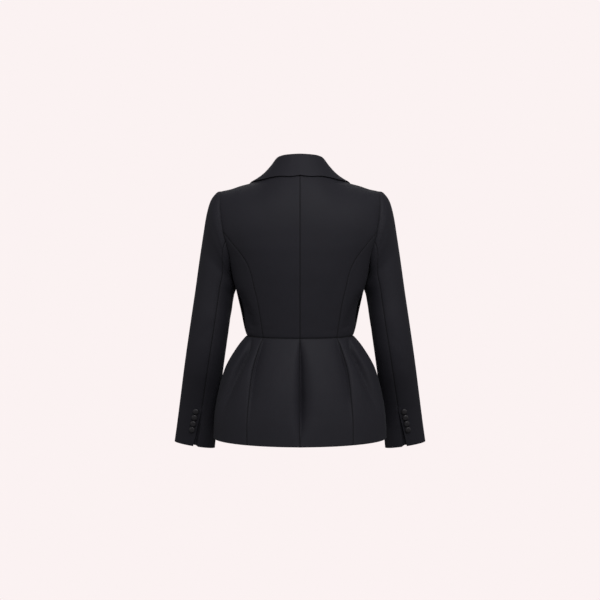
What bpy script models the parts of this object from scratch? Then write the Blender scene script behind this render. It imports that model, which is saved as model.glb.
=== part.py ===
"""A fitted peplum jacket, worn by nobody: hollow, open at neck, hem and cuffs.

Metres, +Z up. The back of the jacket faces +Y and the wearer's left is +X.
The origin is between the shoulders, level with the neck ends of the shoulder seams.
"""
import math
from collections import namedtuple

import bmesh
import bpy
import numpy as np
from mathutils import Matrix

CLOTH = 0.002
EDGE_INSET = 0.0002

WAIST_Z = -0.358
HEM_Z = -0.5965
BACK_BASE_Z = -0.115
FRONT_BASE_Z = -0.190
NECK_X = 0.078
TIP_X = 0.1857
NAPE_LEVEL = 1.627
UNDERARM_Z = -0.2055
UNDERLAP = 0.0042
LAPEL_UNDERLAP = 0.0040

BODICE_ROWS = 9
ARM_ROWS = 7
PANEL_COLUMNS = 8
SIDE_COLUMNS = 6
NECK_COLUMNS = 5
PEPLUM_COLUMNS = 12

BUTTON_DIAMETER = 0.0142
BUTTON_HEIGHT = 0.0052
BUTTON_PITCH = 0.0150
FIRST_BUTTON_Z = -0.5405
BUTTON_REACH = 0.45
BUTTON_SLANT = 0.12

Section = namedtuple("Section", "z half_width back front roundness")
Along = namedtuple("Along", "at value")
Ring = namedtuple("Ring", "outer_x outer_z inner_x inner_z centre_y half_depth")
Station = namedtuple("Station", "neck_x neck_level fold_x fold_y fold_z edge_x edge_level lift")
Flute = namedtuple("Flute", "height angle depth centre_side outer_side")

BODY = [
    Section(-0.358, 0.1257, 0.088, 0.098, 2.0),
    Section(-0.341, 0.1308, 0.090, 0.101, 2.0),
    Section(-0.303, 0.1390, 0.095, 0.108, 2.05),
    Section(-0.266, 0.1480, 0.100, 0.118, 2.1),
    Section(-0.243, 0.1535, 0.103, 0.124, 2.15),
    Section(-0.2055, 0.1630, 0.108, 0.129, 2.2),
    Section(-0.175, 0.1735, 0.1105, 0.130, 2.25),
    Section(-0.144, 0.1870, 0.112, 0.130, 2.3),
    Section(-0.115, 0.1970, 0.112, 0.130, 2.3),
    Section(-0.060, 0.2020, 0.112, 0.130, 2.3),
    Section(0.000, 0.2050, 0.112, 0.130, 2.3),
]
SKIRT = [
    Section(-0.358, 0.1262, 0.088, 0.098, 2.0),
    Section(-0.378, 0.1430, 0.098, 0.106, 2.0),
    Section(-0.397, 0.1560, 0.107, 0.113, 2.0),
    Section(-0.416, 0.1675, 0.115, 0.120, 2.0),
    Section(-0.4346, 0.1765, 0.122, 0.126, 2.0),
    Section(-0.483, 0.1905, 0.137, 0.137, 2.0),
    Section(-0.550, 0.2015, 0.149, 0.145, 2.0),
    Section(-0.5965, 0.2033, 0.153, 0.148, 2.0),
]
SHOULDER_LINE = [
    Along(0.0, 0.0675), Along(0.04, 0.050), Along(0.07, 0.0265), Along(0.085, 0.0145),
    Along(0.10, 0.0057), Along(0.116, -0.0003), Along(0.14, -0.0068), Along(0.163, -0.0145),
    Along(0.187, -0.0195), Along(0.21, -0.026),
]
BACK_PRINCESS = [
    Along(-0.358, 0.0855), Along(-0.315, 0.0915), Along(-0.277, 0.0976), Along(-0.239, 0.1065),
    Along(-0.215, 0.1118), Along(-0.189, 0.1213), Along(-0.166, 0.1358), Along(-0.142, 0.1555),
    Along(-0.115, 0.1780),
]
FRONT_PRINCESS = [
    Along(0.0, 0.076), Along(0.35, 0.082), Along(0.64, 0.089), Along(0.94, 0.104),
    Along(1.10, 0.126), Along(1.304, 0.172),
]
BACK_ARMHOLE = [Along(1.0, 0.178), Along(1.22, 0.1835), Along(1.5, 0.1868), Along(2.0, TIP_X)]
FRONT_ARMHOLE = [Along(1.304, 0.172), Along(1.5, 0.1775), Along(1.75, 0.1835), Along(2.0, TIP_X)]
ROLL_LINE = [
    Along(0.345, -0.018), Along(0.643, -0.004), Along(1.0, 0.0128), Along(1.304, 0.0387),
    Along(1.5, 0.0565), Along(1.7, 0.0665), Along(1.85, 0.0725), Along(2.0, NECK_X),
]
WRAP = 0.020
BREAK_LEVEL = 0.345
GORGE_LEVEL = 1.62
LAPEL_EDGE = [
    Along(0.36, -0.013), Along(0.45, 0.008), Along(0.70, 0.050), Along(1.0, 0.085),
    Along(1.30, 0.112), Along(1.51, 0.127),
]
LAPEL_TIP = (0.127, 1.51)
LAPEL_ROLL = [
    (-0.0024, -0.0020), (-0.0035, -0.0004), (-0.0038, 0.0015), (-0.0018, 0.0036), (0.0016, 0.0045),
]
LAPEL_ROWS = 11
NOTCH_STEP = 3
FALL_STEPS = 5
FOLD_RADIUS = 0.0036
COLLAR_SEAT = 0.0009

COLLAR = [
    Station(0.0000, 1.627, 0.0000, 0.0580, 0.0670, 0.0000, 1.507, 0.0042),
    Station(0.0156, 1.642, 0.0170, 0.0560, 0.0665, 0.0200, 1.522, 0.0042),
    Station(0.0312, 1.687, 0.0335, 0.0485, 0.0650, 0.0420, 1.571, 0.0042),
    Station(0.0468, 1.761, 0.0480, 0.0345, 0.0618, 0.0670, 1.668, 0.0042),
    Station(0.0624, 1.866, 0.0570, 0.0150, 0.0545, 0.0890, 1.785, 0.0042),
    Station(0.0780, 2.000, 0.0608, -0.0060, 0.0432, 0.1040, 1.895, 0.0038),
    Station(0.0725, 2.150, 0.0635, -0.0270, 0.0290, 0.1130, 2.030, 0.0036),
    Station(0.0690, 2.230, 0.0648, -0.0400, 0.0185, 0.1190, 2.130, 0.0036),
    Station(0.0660, 2.310, 0.0640, -0.0530, 0.0040, 0.1215, 2.220, 0.0034),
    Station(0.0628, 2.380, 0.0612, -0.0660, -0.0115, 0.1205, 2.300, 0.0032),
]

SLEEVE = [
    Ring(0.1860, -0.0195, 0.1634, -0.2055, 0.000, 0.0590),
    Ring(0.1925, -0.0205, 0.1632, -0.2095, -0.001, 0.0600),
    Ring(0.2005, -0.0275, 0.1623, -0.2130, -0.003, 0.0615),
    Ring(0.2095, -0.0400, 0.1613, -0.2170, -0.006, 0.0630),
    Ring(0.2165, -0.0590, 0.1599, -0.2215, -0.011, 0.0640),
    Ring(0.2225, -0.0850, 0.1573, -0.2275, -0.016, 0.0645),
    Ring(0.2282, -0.1180, 0.1542, -0.2350, -0.024, 0.0640),
    Ring(0.2345, -0.1570, 0.1508, -0.2470, -0.030, 0.0630),
    Ring(0.2408, -0.2010, 0.1562, -0.2650, -0.030, 0.0610),
    Ring(0.2480, -0.2540, 0.1600, -0.2900, -0.028, 0.0580),
    Ring(0.2565, -0.3130, 0.1660, -0.3300, -0.024, 0.0550),
    Ring(0.2650, -0.3700, 0.1740, -0.3840, -0.026, 0.0520),
    Ring(0.2740, -0.4300, 0.1825, -0.4440, -0.036, 0.0480),
    Ring(0.2825, -0.4870, 0.1900, -0.5020, -0.055, 0.0430),
    Ring(0.2895, -0.5350, 0.1960, -0.5500, -0.070, 0.0385),
    Ring(0.2960, -0.5800, 0.2010, -0.5950, -0.081, 0.0350),
    Ring(0.3020, -0.6190, 0.2050, -0.6345, -0.089, 0.0325),
]
VENT_ROWS = 2
VENT_TUCK = 0.0033
VENT_REACH = 0.85

CENTRE_FOLD = [
    Flute(0.00, 0.0, 0.0005, 5.0, 4.0), Flute(0.12, -0.8, 0.006, 6.0, 4.5),
    Flute(0.30, -1.2, 0.014, 6.5, 5.0), Flute(0.55, -1.4, 0.019, 6.5, 5.0),
    Flute(0.75, -1.2, 0.014, 6.0, 4.5), Flute(0.90, -0.6, 0.004, 5.0, 4.0),
    Flute(1.00, 0.0, 0.0005, 5.0, 4.0),
]
SEAM_VALLEY = [
    Flute(0.00, 40.0, 0.000, 4.0, 2.5), Flute(0.12, 38.5, 0.004, 5.0, 2.5),
    Flute(0.30, 36.5, 0.007, 6.0, 3.0), Flute(0.50, 34.8, 0.005, 5.5, 3.0),
    Flute(0.70, 34.0, 0.001, 5.0, 3.0), Flute(1.00, 34.0, 0.000, 5.0, 3.0),
]
SIDE_VALLEY = [
    Flute(0.00, 66.0, 0.000, 6.0, 5.0), Flute(0.10, 60.0, 0.005, 6.0, 5.5),
    Flute(0.28, 57.5, 0.011, 7.0, 6.5), Flute(0.50, 60.0, 0.010, 7.0, 6.5),
    Flute(0.72, 64.5, 0.004, 6.5, 6.0), Flute(0.88, 69.0, 0.001, 6.0, 6.0),
    Flute(1.00, 71.0, 0.000, 6.0, 6.0),
]
SKIRT_SEAM = [Along(0.0, 42.4), Along(0.17, 40.5), Along(0.35, 39.2), Along(0.6, 37.6), Along(1.0, 36.5)]
SKIRT_ROWS = [0.0, 0.07, 0.16, 0.28, 0.42, 0.57, 0.72, 0.86, 1.0]

BLACK_WOOL = (0.018, 0.018, 0.020, 1.0)
BLACK_SATIN = (0.026, 0.026, 0.029, 1.0)


def blend(xs, ys, x):
    """A smooth curve through the points (xs, ys), read at x, held flat past its ends."""
    if x <= xs[0]:
        return ys[0]
    if x >= xs[-1]:
        return ys[-1]
    i = int(np.searchsorted(xs, x, side="right")) - 1
    i = min(i, len(xs) - 2)
    steps = [(ys[k + 1] - ys[k]) / (xs[k + 1] - xs[k]) for k in range(len(xs) - 1)]

    def slope(k):
        if k == 0:
            return steps[0]
        if k == len(xs) - 1:
            return steps[-1]
        left, right = steps[k - 1], steps[k]
        if left * right <= 0.0:
            return 0.0
        return 2.0 * left * right / (left + right)

    width = xs[i + 1] - xs[i]
    t = (x - xs[i]) / width
    a = (1 + 2 * t) * (1 - t) ** 2
    b = t * (1 - t) ** 2
    c = t * t * (3 - 2 * t)
    d = t * t * (t - 1)
    return a * ys[i] + b * width * slope(i) + c * ys[i + 1] + d * width * slope(i + 1)


def read(table, column, at, key):
    """One named column of a table, as a smooth curve along the column named key."""
    rows = sorted(table, key=lambda row: getattr(row, key))
    return blend([getattr(row, key) for row in rows], [getattr(row, column) for row in rows], at)


def along(table, at):
    """The value of a two-column table at a place along it."""
    return read(table, "value", at, "at")


def smoothstep(low, high, x):
    """0 below low, 1 above high, and a soft step between."""
    t = min(max((x - low) / (high - low), 0.0), 1.0)
    return t * t * (3.0 - 2.0 * t)


def power(value, exponent):
    """A power that keeps the sign of the value."""
    return math.copysign(abs(value) ** exponent, value)


def base_height(level, back):
    """Nominal height, rise and depth of a level: 0 is the waist, 1 the chest, 2 the shoulder seam."""
    base = BACK_BASE_Z if back else FRONT_BASE_Z
    if level <= 1.0:
        return WAIST_Z + (base - WAIST_Z) * level, 0.0, 1.0
    dome = 2.0 if back else 1.6
    turn = math.radians(90.0 * min(level - 1.0, 1.0))
    rise = math.sin(turn) ** (2.0 / dome)
    depth = max(math.cos(turn), 0.0) ** (2.0 / dome)
    return base * (1.0 - rise), rise, depth


def body_point(angle, level, back):
    """A point of the bodice: angle 0 is the centre back or front, 90 degrees the side."""
    z, rise, depth = base_height(level, back)
    n = read(BODY, "roundness", z, "z")
    turn = math.radians(angle)
    x = read(BODY, "half_width", z, "z") * power(math.sin(turn), 2.0 / n)
    base = BACK_BASE_Z if back else FRONT_BASE_Z
    reach = read(BODY, "back" if back else "front", min(z, base), "z")
    y = reach * power(math.cos(turn), 2.0 / n) * depth
    if rise > 0.0:
        z = base + (along(SHOULDER_LINE, abs(x)) - base) * rise
    return np.array([x, y if back else -y, z])


def angle_of(x, level, back):
    """The angle whose point on a level lies x metres from the centre."""
    z = base_height(level, back)[0]
    n = read(BODY, "roundness", z, "z")
    share = min(abs(x) / read(BODY, "half_width", z, "z"), 1.0)
    return math.degrees(math.asin(share ** (n / 2.0))) * math.copysign(1.0, x)


def surface_normal(point, u, v, du, dv, outward):
    """The unit normal of a surface function, turned to the side of a given direction."""
    across = point(u + du, v) - point(u - du, v)
    up = point(u, v + dv) - point(u, v - dv)
    normal = np.cross(across, up)
    normal /= np.linalg.norm(normal)
    return normal if np.dot(normal, outward) >= 0 else -normal


def body_outward(point):
    """A rough outward direction at a point of the bodice or peplum."""
    return np.array([point[0] * 0.7, point[1], max(point[2] + 0.12, 0.0) * 1.2])


def body_normal(angle, level, back):
    """The outward normal of the bodice."""
    point = body_point(angle, level, back)
    top = min(level, 1.985)
    return surface_normal(lambda a, v: body_point(a, v, back), angle, top, 0.4, 0.012,
                          body_outward(point))


def over_shoulder(x, level, lift):
    """A point above the body; levels past 2 run down the front from the shoulder seam."""
    back = level <= 2.0
    here = level if back else 4.0 - level
    angle = angle_of(x, here, back)
    return body_point(angle, here, back) + lift * body_normal(angle, here, back)


def flute_push(table, height, angle):
    """How far one fold pulls the peplum in at a height and an angle."""
    centre = read(table, "angle", height, "height")
    depth = read(table, "depth", height, "height")
    side = "centre_side" if angle < centre else "outer_side"
    width = read(table, side, height, "height")
    return depth * math.exp(-((angle - centre) / width) ** 2)


def skirt_point(angle, height, back):
    """A point of the peplum; height 0 is the waist seam and 1 the hem."""
    z = WAIST_Z + (HEM_Z - WAIST_Z) * height
    turn = math.radians(angle)
    width = read(SKIRT, "half_width", z, "z")
    reach = read(SKIRT, "back" if back else "front", z, "z")
    push = flute_push(SEAM_VALLEY, height, abs(angle)) + flute_push(SIDE_VALLEY, height, abs(angle))
    if back:
        push += flute_push(CENTRE_FOLD, height, angle)
    x = width * math.sin(turn)
    y = reach * math.cos(turn)
    normal = np.array([x / width ** 2, y / reach ** 2])
    normal /= np.linalg.norm(normal)
    x -= push * normal[0]
    y -= push * normal[1]
    return np.array([x, y if back else -y, z])


def skirt_normal(angle, height, back):
    """The outward normal of the peplum."""
    point = skirt_point(angle, height, back)
    at = min(max(height, 0.01), 0.99)
    outward = np.array([point[0], point[1], 0.0])
    return surface_normal(lambda a, v: skirt_point(a, v, back), angle, at, 0.5, 0.01, outward)


def coons(bottom, top, left, right, columns, rows):
    """Fills a four-sided patch between its edge curves, in angle and level."""
    grid = []
    for v in rows:
        line = []
        for u in columns:
            sides = (1 - u) * left(v) + u * right(v)
            ends = (1 - v) * bottom(u) + v * top(u)
            corners = ((1 - u) * ((1 - v) * bottom(0) + v * top(0))
                       + u * ((1 - v) * bottom(1) + v * top(1)))
            line.append(sides + ends - corners)
        grid.append(line)
    return grid


def trim(points):
    """Draws each edge of a grid of points in, so that panels part at their seams."""
    out = np.array(points)
    for row, inner in ((0, 1), (-1, -2)):
        step = out[inner] - out[row]
        out[row] += EDGE_INSET * step / np.linalg.norm(step, axis=1, keepdims=True)
    for column, inner in ((0, 1), (-1, -2)):
        step = out[:, inner] - out[:, column]
        out[:, column] += EDGE_INSET * step / np.linalg.norm(step, axis=1, keepdims=True)
    return out


def material(name, colour, roughness):
    """A plain Principled BSDF material."""
    made = bpy.data.materials.new(name)
    made.use_nodes = True
    shader = made.node_tree.nodes["Principled BSDF"]
    shader.inputs["Base Color"].default_value = colour
    shader.inputs["Roughness"].default_value = roughness
    shader.inputs["Metallic"].default_value = 0.0
    return made


def add_object(name, verts, faces, collection, colour=BLACK_WOOL, roughness=0.75):
    """Makes a mesh object whose faces all point outward."""
    mesh = bpy.data.meshes.new(name)
    mesh.from_pydata([tuple(float(c) for c in v) for v in verts], [], faces)
    bm = bmesh.new()
    bm.from_mesh(mesh)
    bmesh.ops.recalc_face_normals(bm, faces=bm.faces)
    bmesh.ops.triangulate(bm, faces=bm.faces)
    if bm.calc_volume(signed=True) < 0.0:
        bmesh.ops.reverse_faces(bm, faces=bm.faces)
    bm.to_mesh(mesh)
    bm.free()
    made = bpy.data.objects.new(name, mesh)
    made.data.materials.append(material(name + "_cloth", colour, roughness))
    collection.objects.link(made)
    return made


def wall(name, outer, normals, collection, thickness=CLOTH):
    """Turns a grid of outer points into a closed wall of cloth."""
    outer = np.array(outer)
    inner = outer - thickness * np.array(normals)
    rows, columns = outer.shape[:2]
    verts = list(outer.reshape(-1, 3)) + list(inner.reshape(-1, 3))
    shift = rows * columns
    faces = []
    for r in range(rows - 1):
        for c in range(columns - 1):
            a = r * columns + c
            b, d, e = a + 1, a + columns, a + columns + 1
            faces.append((a, b, e, d))
            faces.append((a + shift, d + shift, e + shift, b + shift))
    rim = [(0, c) for c in range(columns)]
    rim += [(r, columns - 1) for r in range(1, rows)]
    rim += [(rows - 1, c) for c in range(columns - 2, -1, -1)]
    rim += [(r, 0) for r in range(rows - 2, 0, -1)]
    ids = [r * columns + c for r, c in rim]
    for a, b in zip(ids, ids[1:] + ids[:1]):
        faces.append((a, b, b + shift, a + shift))
    return add_object(name, verts, faces, collection)


def grid_normals(points, outward):
    """Normals of a grid of points, from its own neighbours, turned outward."""
    points = np.array(points)
    normals = np.cross(np.gradient(points, axis=1), np.gradient(points, axis=0))
    normals /= np.linalg.norm(normals, axis=2, keepdims=True)
    middle = normals[normals.shape[0] // 2, normals.shape[1] // 2]
    return normals if np.dot(middle, outward) >= 0 else -normals


def spaced(count, start=0.0, end=1.0):
    """Evenly spaced shares, both ends included."""
    return [start + (end - start) * i / count for i in range(count + 1)]


def princess_back(share):
    """The back princess seam in angle and level, from the waist up to the armhole."""
    x = along(BACK_PRINCESS, WAIST_Z + (BACK_BASE_Z - WAIST_Z) * share)
    return np.array([angle_of(x, share, True), share])


def princess_front(share):
    """The front princess seam in angle and level."""
    level = FRONT_PRINCESS[-1].at * share
    return np.array([angle_of(along(FRONT_PRINCESS, level), level, False), level])


def armhole_above(share, back):
    """The armhole from the princess seam up to the shoulder tip."""
    table = BACK_ARMHOLE if back else FRONT_ARMHOLE
    level = table[0].at + (2.0 - table[0].at) * share
    return np.array([angle_of(along(table, level), level, back), level])


def armhole_below(share, back):
    """The armhole from the princess seam down to the underarm, a quarter of an oval."""
    start = armhole_above(0.0, back)
    base = BACK_BASE_Z if back else FRONT_BASE_Z
    end_level = (UNDERARM_Z - WAIST_Z) / (base - WAIST_Z)
    turn = math.radians(90.0 * share)
    return np.array([90.0 - (90.0 - start[0]) * math.cos(turn),
                     start[1] - (start[1] - end_level) * math.sin(turn)])


def side_seam(share, back):
    """The side seam from the waist up to the underarm."""
    base = BACK_BASE_Z if back else FRONT_BASE_Z
    return np.array([90.0, share * (UNDERARM_Z - WAIST_Z) / (base - WAIST_Z)])


def outer_edge(share, back):
    """A main panel's outer edge: the princess seam, then the armhole."""
    seam_share = BODICE_ROWS / (BODICE_ROWS + ARM_ROWS)
    if share <= seam_share:
        seam = princess_back if back else princess_front
        return seam(share / seam_share)
    return armhole_above((share - seam_share) / (1.0 - seam_share), back)


def front_edge(share):
    """The front edge: straight from the waist to the break, then the roll line."""
    level = 2.0 * share
    x = -WRAP if level < BREAK_LEVEL else along(ROLL_LINE, level)
    return np.array([angle_of(x, level, False), level])


def neckline(x):
    """The level of the back neckline, x metres from the centre."""
    return NAPE_LEVEL + (2.0 - NAPE_LEVEL) * (abs(x) / NECK_X) ** 2


def back_top(share):
    """The back neckline, then the shoulder seam."""
    x = TIP_X * share
    level = neckline(x) if x < NECK_X else 2.0
    return np.array([angle_of(x, level, True), level])


def front_top(share):
    """The shoulder seam from the neck to the tip."""
    return np.array([angle_of(NECK_X + (TIP_X - NECK_X) * share, 2.0, False), 2.0])


def under_front(x, level):
    """How far the left front sits below the right one that laps over it."""
    depth = UNDERLAP + LAPEL_UNDERLAP * smoothstep(0.10, 0.40, level)
    return depth * smoothstep(0.060, 0.024, x) * smoothstep(1.25, 0.84, level)


def body_panel(name, cells, back, side, collection, lapped=False):
    """Maps a grid of angles and levels to a wall of the bodice."""
    points, normals = [], []
    for line in cells:
        row, row_normals = [], []
        for angle, level in line:
            point = body_point(angle, level, back)
            normal = body_normal(angle, level, back)
            if lapped:
                point = point - under_front(point[0], level) * normal
            row.append(point)
            row_normals.append(normal)
        points.append(row)
        normals.append(row_normals)
    mirror = np.array([side, 1.0, 1.0])
    return wall(name, trim(points) * mirror, np.array(normals) * mirror, collection)


def make_bodice(side, label, collection):
    """The four bodice panels of one side."""
    rows = spaced(BODICE_ROWS + ARM_ROWS)
    neck_share = NECK_X / TIP_X
    columns = spaced(NECK_COLUMNS, 0.0, neck_share)
    columns += spaced(PANEL_COLUMNS - NECK_COLUMNS + 1, neck_share, 1.0)[1:]
    straight = princess_back(0.0)[0]
    cells = coons(lambda u: np.array([straight * u, 0.0]), back_top,
                  lambda v: np.array([0.0, NAPE_LEVEL * v]), lambda v: outer_edge(v, True),
                  columns, rows)
    body_panel("back_" + label, cells, True, side, collection)
    edge, seam = front_edge(0.0)[0], princess_front(0.0)[0]
    cells = coons(lambda u: np.array([edge + (seam - edge) * u, 0.0]), front_top,
                  front_edge, lambda v: outer_edge(v, False), spaced(PANEL_COLUMNS), rows)
    body_panel("front_" + label, cells, False, side, collection, lapped=side > 0)
    for back, word, seam_of in ((True, "back", princess_back), (False, "front", princess_front)):
        start = seam_of(0.0)[0]
        cells = coons(lambda u: np.array([start + (90.0 - start) * u, 0.0]),
                      lambda u: armhole_below(u, back), seam_of,
                      lambda v: side_seam(v, back), spaced(SIDE_COLUMNS), spaced(BODICE_ROWS))
        body_panel("side_" + word + "_" + label, cells, back, side, collection)


def skirt_panel(name, angles, back, side, collection, lapped=False):
    """A peplum gore between two seams, given as functions of the height."""
    points, normals = [], []
    mirror = np.array([side, 1.0, 1.0])
    for height in SKIRT_ROWS:
        row, row_normals = [], []
        start, end = angles(height)
        for share in spaced(PEPLUM_COLUMNS):
            angle = start + (end - start) * share
            turned = angle * side
            point = skirt_point(turned, height, back)
            normal = skirt_normal(turned, height, back)
            if lapped:
                inset = (UNDERLAP - 0.001 * height) * smoothstep(0.060, 0.024, point[0])
                point = point - inset * normal
            row.append(point)
            row_normals.append(normal)
        points.append(row)
        normals.append(row_normals)
    if side < 0:
        return wall(name, trim(points), normals, collection)
    return wall(name, trim(points), normals * mirror, collection)


def make_peplum(side, label, collection):
    """The four gores of one side."""
    seam = lambda h: along(SKIRT_SEAM, h)
    wrap = lambda h: -math.degrees(math.asin(WRAP / read(SKIRT, "half_width",
                                                         WAIST_Z + (HEM_Z - WAIST_Z) * h, "z")))
    skirt_panel("peplum_back_" + label, lambda h: (0.0, seam(h)), True, side, collection)
    skirt_panel("peplum_side_back_" + label, lambda h: (seam(h), 90.0), True, side, collection)
    skirt_panel("peplum_side_front_" + label, lambda h: (seam(h), 90.0), False, side, collection)
    skirt_panel("peplum_front_" + label, lambda h: (wrap(h), seam(h)), False, side, collection,
                lapped=side > 0)


def armhole_loop():
    """The armhole's points from the shoulder tip, down the back and up the front."""
    loop = [body_point(*armhole_above(s, True), True) for s in reversed(spaced(ARM_ROWS))]
    loop += [body_point(*armhole_below(s, True), True) for s in spaced(SIDE_COLUMNS)[1:]]
    loop += [body_point(*armhole_below(s, False), False) for s in reversed(spaced(SIDE_COLUMNS)[:-1])]
    loop += [body_point(*armhole_above(s, False), False) for s in spaced(ARM_ROWS)[1:-1]]
    return np.array(loop)


def ring_point(ring, turn):
    """A point of a sleeve ring; turn 0 is its outer point and 90 degrees its back."""
    outer = np.array([ring.outer_x, 0.0, ring.outer_z])
    inner = np.array([ring.inner_x, 0.0, ring.inner_z])
    middle = (outer + inner) / 2.0
    half = (outer - inner) / 2.0
    back = np.array([0.0, ring.half_depth, 0.0])
    centre = np.array([0.0, ring.centre_y, 0.0])
    return middle + centre + half * math.cos(turn) + back * math.sin(turn)


def sleeve_rows():
    """All rings of a sleeve, its first one being the armhole itself."""
    loop = armhole_loop()
    first = SLEEVE[0]
    turns = []
    for point in loop:
        half = np.array([first.outer_x - first.inner_x, 0.0, first.outer_z - first.inner_z]) / 2.0
        middle = np.array([first.outer_x + first.inner_x, 0.0, first.outer_z + first.inner_z]) / 2.0
        share = np.dot(point - middle, half) / np.dot(half, half)
        turns.append(math.atan2(point[1] / first.half_depth, share))
    rows = []
    for k, ring in enumerate(SLEEVE):
        keep = (0.0 if k >= 5 else (1.0 - k / 5.0) ** 1.5)
        row = []
        for turn, point in zip(turns, loop):
            offset = point - ring_point(first, turn)
            row.append(ring_point(ring, turn) + keep * offset)
        rows.append(row)
    rows = np.array(rows)
    rows[0] += np.array([EDGE_INSET + 0.0001, 0.0, 0.0])
    return rows


def closed_normals(rows):
    """Outward normals of a tube whose rows are closed rings."""
    padded = np.concatenate([rows[:, -1:], rows, rows[:, :1]], axis=1)
    normals = np.cross(np.gradient(padded, axis=1), np.gradient(padded, axis=0))[:, 1:-1]
    normals /= np.linalg.norm(normals, axis=2, keepdims=True)
    away = rows - rows.mean(axis=1, keepdims=True)
    return normals if np.sum(normals * away) > 0 else -normals


def tuck_vent(points, normals, beyond):
    """Runs the under sleeve's back edge in under the upper sleeve, below the vent."""
    for row in range(len(points) - VENT_ROWS - 1, len(points)):
        reach = VENT_REACH if row >= len(points) - VENT_ROWS else 0.0
        points[row, 0] += reach * (beyond[row] - points[row, 0]) - VENT_TUCK * normals[row, 0]
        points[row, 1] -= VENT_TUCK * normals[row, 1] * (1.0 if reach else 0.4)


def make_sleeve(side, label, collection):
    """The upper and under sleeve of one side; returns its rows and normals."""
    rows = sleeve_rows()
    normals = closed_normals(rows)
    count = rows.shape[1]
    hind = ARM_ROWS + 1
    fore = count - ARM_ROWS - 2
    mirror = np.array([side, 1.0, 1.0])
    upper = [(fore + i) % count for i in range(count - fore + hind + 1)]
    under = list(range(hind, fore + 1))
    wall("upper_sleeve_" + label, trim(rows[:, upper]) * mirror, normals[:, upper] * mirror, collection)
    points = trim(rows[:, under])
    tuck_vent(points, normals[:, under], rows[:, hind - 1])
    wall("under_sleeve_" + label, points * mirror, normals[:, under] * mirror, collection)
    return rows, normals, hind


def collar_section(station, end):
    """The outer points of one section of the collar, from the neckline to the fall's edge."""
    neck = over_shoulder(station.neck_x, station.neck_level, 0.0)
    fold = np.array([station.fold_x, station.fold_y, station.fold_z])
    edge = over_shoulder(station.edge_x, station.edge_level, station.lift)
    outward = edge - fold
    outward[2] = 0.0
    outward /= np.linalg.norm(outward)
    up = np.array([0.0, 0.0, 1.0])
    bottom = neck - CLOTH * outward + COLLAR_SEAT * up
    height = min(max(fold[2] - bottom[2], 0.004), 0.02)
    inside = fold - FOLD_RADIUS * outward - 0.16 * height * up
    outside = fold + FOLD_RADIUS * outward - 0.16 * height * up
    points = [bottom, (bottom + inside) / 2.0, inside, fold, outside]
    for i in range(1, FALL_STEPS + 1):
        points.append(outside + (edge - outside) * i / FALL_STEPS)
    if end:
        seam = [over_shoulder(x, 4.0 - level, lift) for x, level, lift in lapel_line(0.0)]
        corner = 5 + NOTCH_STEP
        points = seam[:corner]
        for i in range(1, FALL_STEPS - NOTCH_STEP + 1):
            points.append(seam[corner - 1] + (edge - seam[corner - 1]) * i / (FALL_STEPS - NOTCH_STEP))
    return points


def lapel_line(share):
    """One line across the lapel, from the roll to its edge, as x, level and lift."""
    level = GORGE_LEVEL + (BREAK_LEVEL + 0.02 - GORGE_LEVEL) * share
    roll = along(ROLL_LINE, level)
    edge_level = LAPEL_TIP[1] + (LAPEL_EDGE[0].at - LAPEL_TIP[1]) * share
    edge = along(LAPEL_EDGE, edge_level)
    line = [(roll + dx, level, lift) for dx, lift in LAPEL_ROLL]
    start = roll + LAPEL_ROLL[-1][0]
    for i in range(1, FALL_STEPS + 1):
        part = i / FALL_STEPS
        line.append((start + (edge - start) * part, level + (edge_level - level) * part,
                     LAPEL_ROLL[-1][1] - 0.0014 * part))
    return line


def make_collar(collection):
    """The folded collar, from one gorge seam round the neck to the other."""
    half = np.array([collar_section(row, row is COLLAR[-1]) for row in COLLAR])
    mirrored = half[:0:-1] * np.array([-1.0, 1.0, 1.0])
    points = np.concatenate([mirrored, half], axis=0)
    normals = grid_normals(points, np.array([0.0, 0.0, 1.0]))
    wall("collar", trim(points), normals, collection)


def make_lapel(side, label, collection):
    """The turned-back facing of one front."""
    points = []
    for share in spaced(LAPEL_ROWS):
        row = []
        for x, level, lift in lapel_line(share):
            drop = under_front(x, level) if side > 0 else 0.0
            row.append(over_shoulder(x, 4.0 - level, lift - drop))
        points.append(row)
    points = np.array(points)
    normals = grid_normals(points, np.array([0.0, -1.0, 0.0]))
    mirror = np.array([side, 1.0, 1.0])
    wall("lapel_" + label, trim(points) * mirror, normals * mirror, collection)


def make_button(name, place, normal, collection):
    """A cloth-covered button: a low drum with a rounded top."""
    bpy.ops.mesh.primitive_cylinder_add(vertices=12, radius=BUTTON_DIAMETER / 2.0,
                                        depth=BUTTON_HEIGHT)
    made = bpy.context.object
    bm = bmesh.new()
    bm.from_mesh(made.data)
    rim = [e for e in bm.edges if all(v.co.z > 0 for v in e.verts)]
    bmesh.ops.bevel(bm, geom=rim, offset=0.0028, segments=2, profile=0.5, affect="EDGES")
    bm.to_mesh(made.data)
    bm.free()
    made.name = name
    made.data.materials.append(material(name + "_cover", BLACK_SATIN, 0.5))
    axis = np.array(normal) / np.linalg.norm(normal)
    side = np.cross([0.0, 0.0, 1.0], axis)
    side /= np.linalg.norm(side)
    up = np.cross(axis, side)
    centre = np.array(place) + axis * (BUTTON_HEIGHT / 2.0)
    rows = [[side[i], up[i], axis[i], centre[i]] for i in range(3)] + [[0, 0, 0, 1]]
    made.matrix_world = Matrix(rows)
    for old in list(made.users_collection):
        old.objects.unlink(made)
    collection.objects.link(made)


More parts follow.
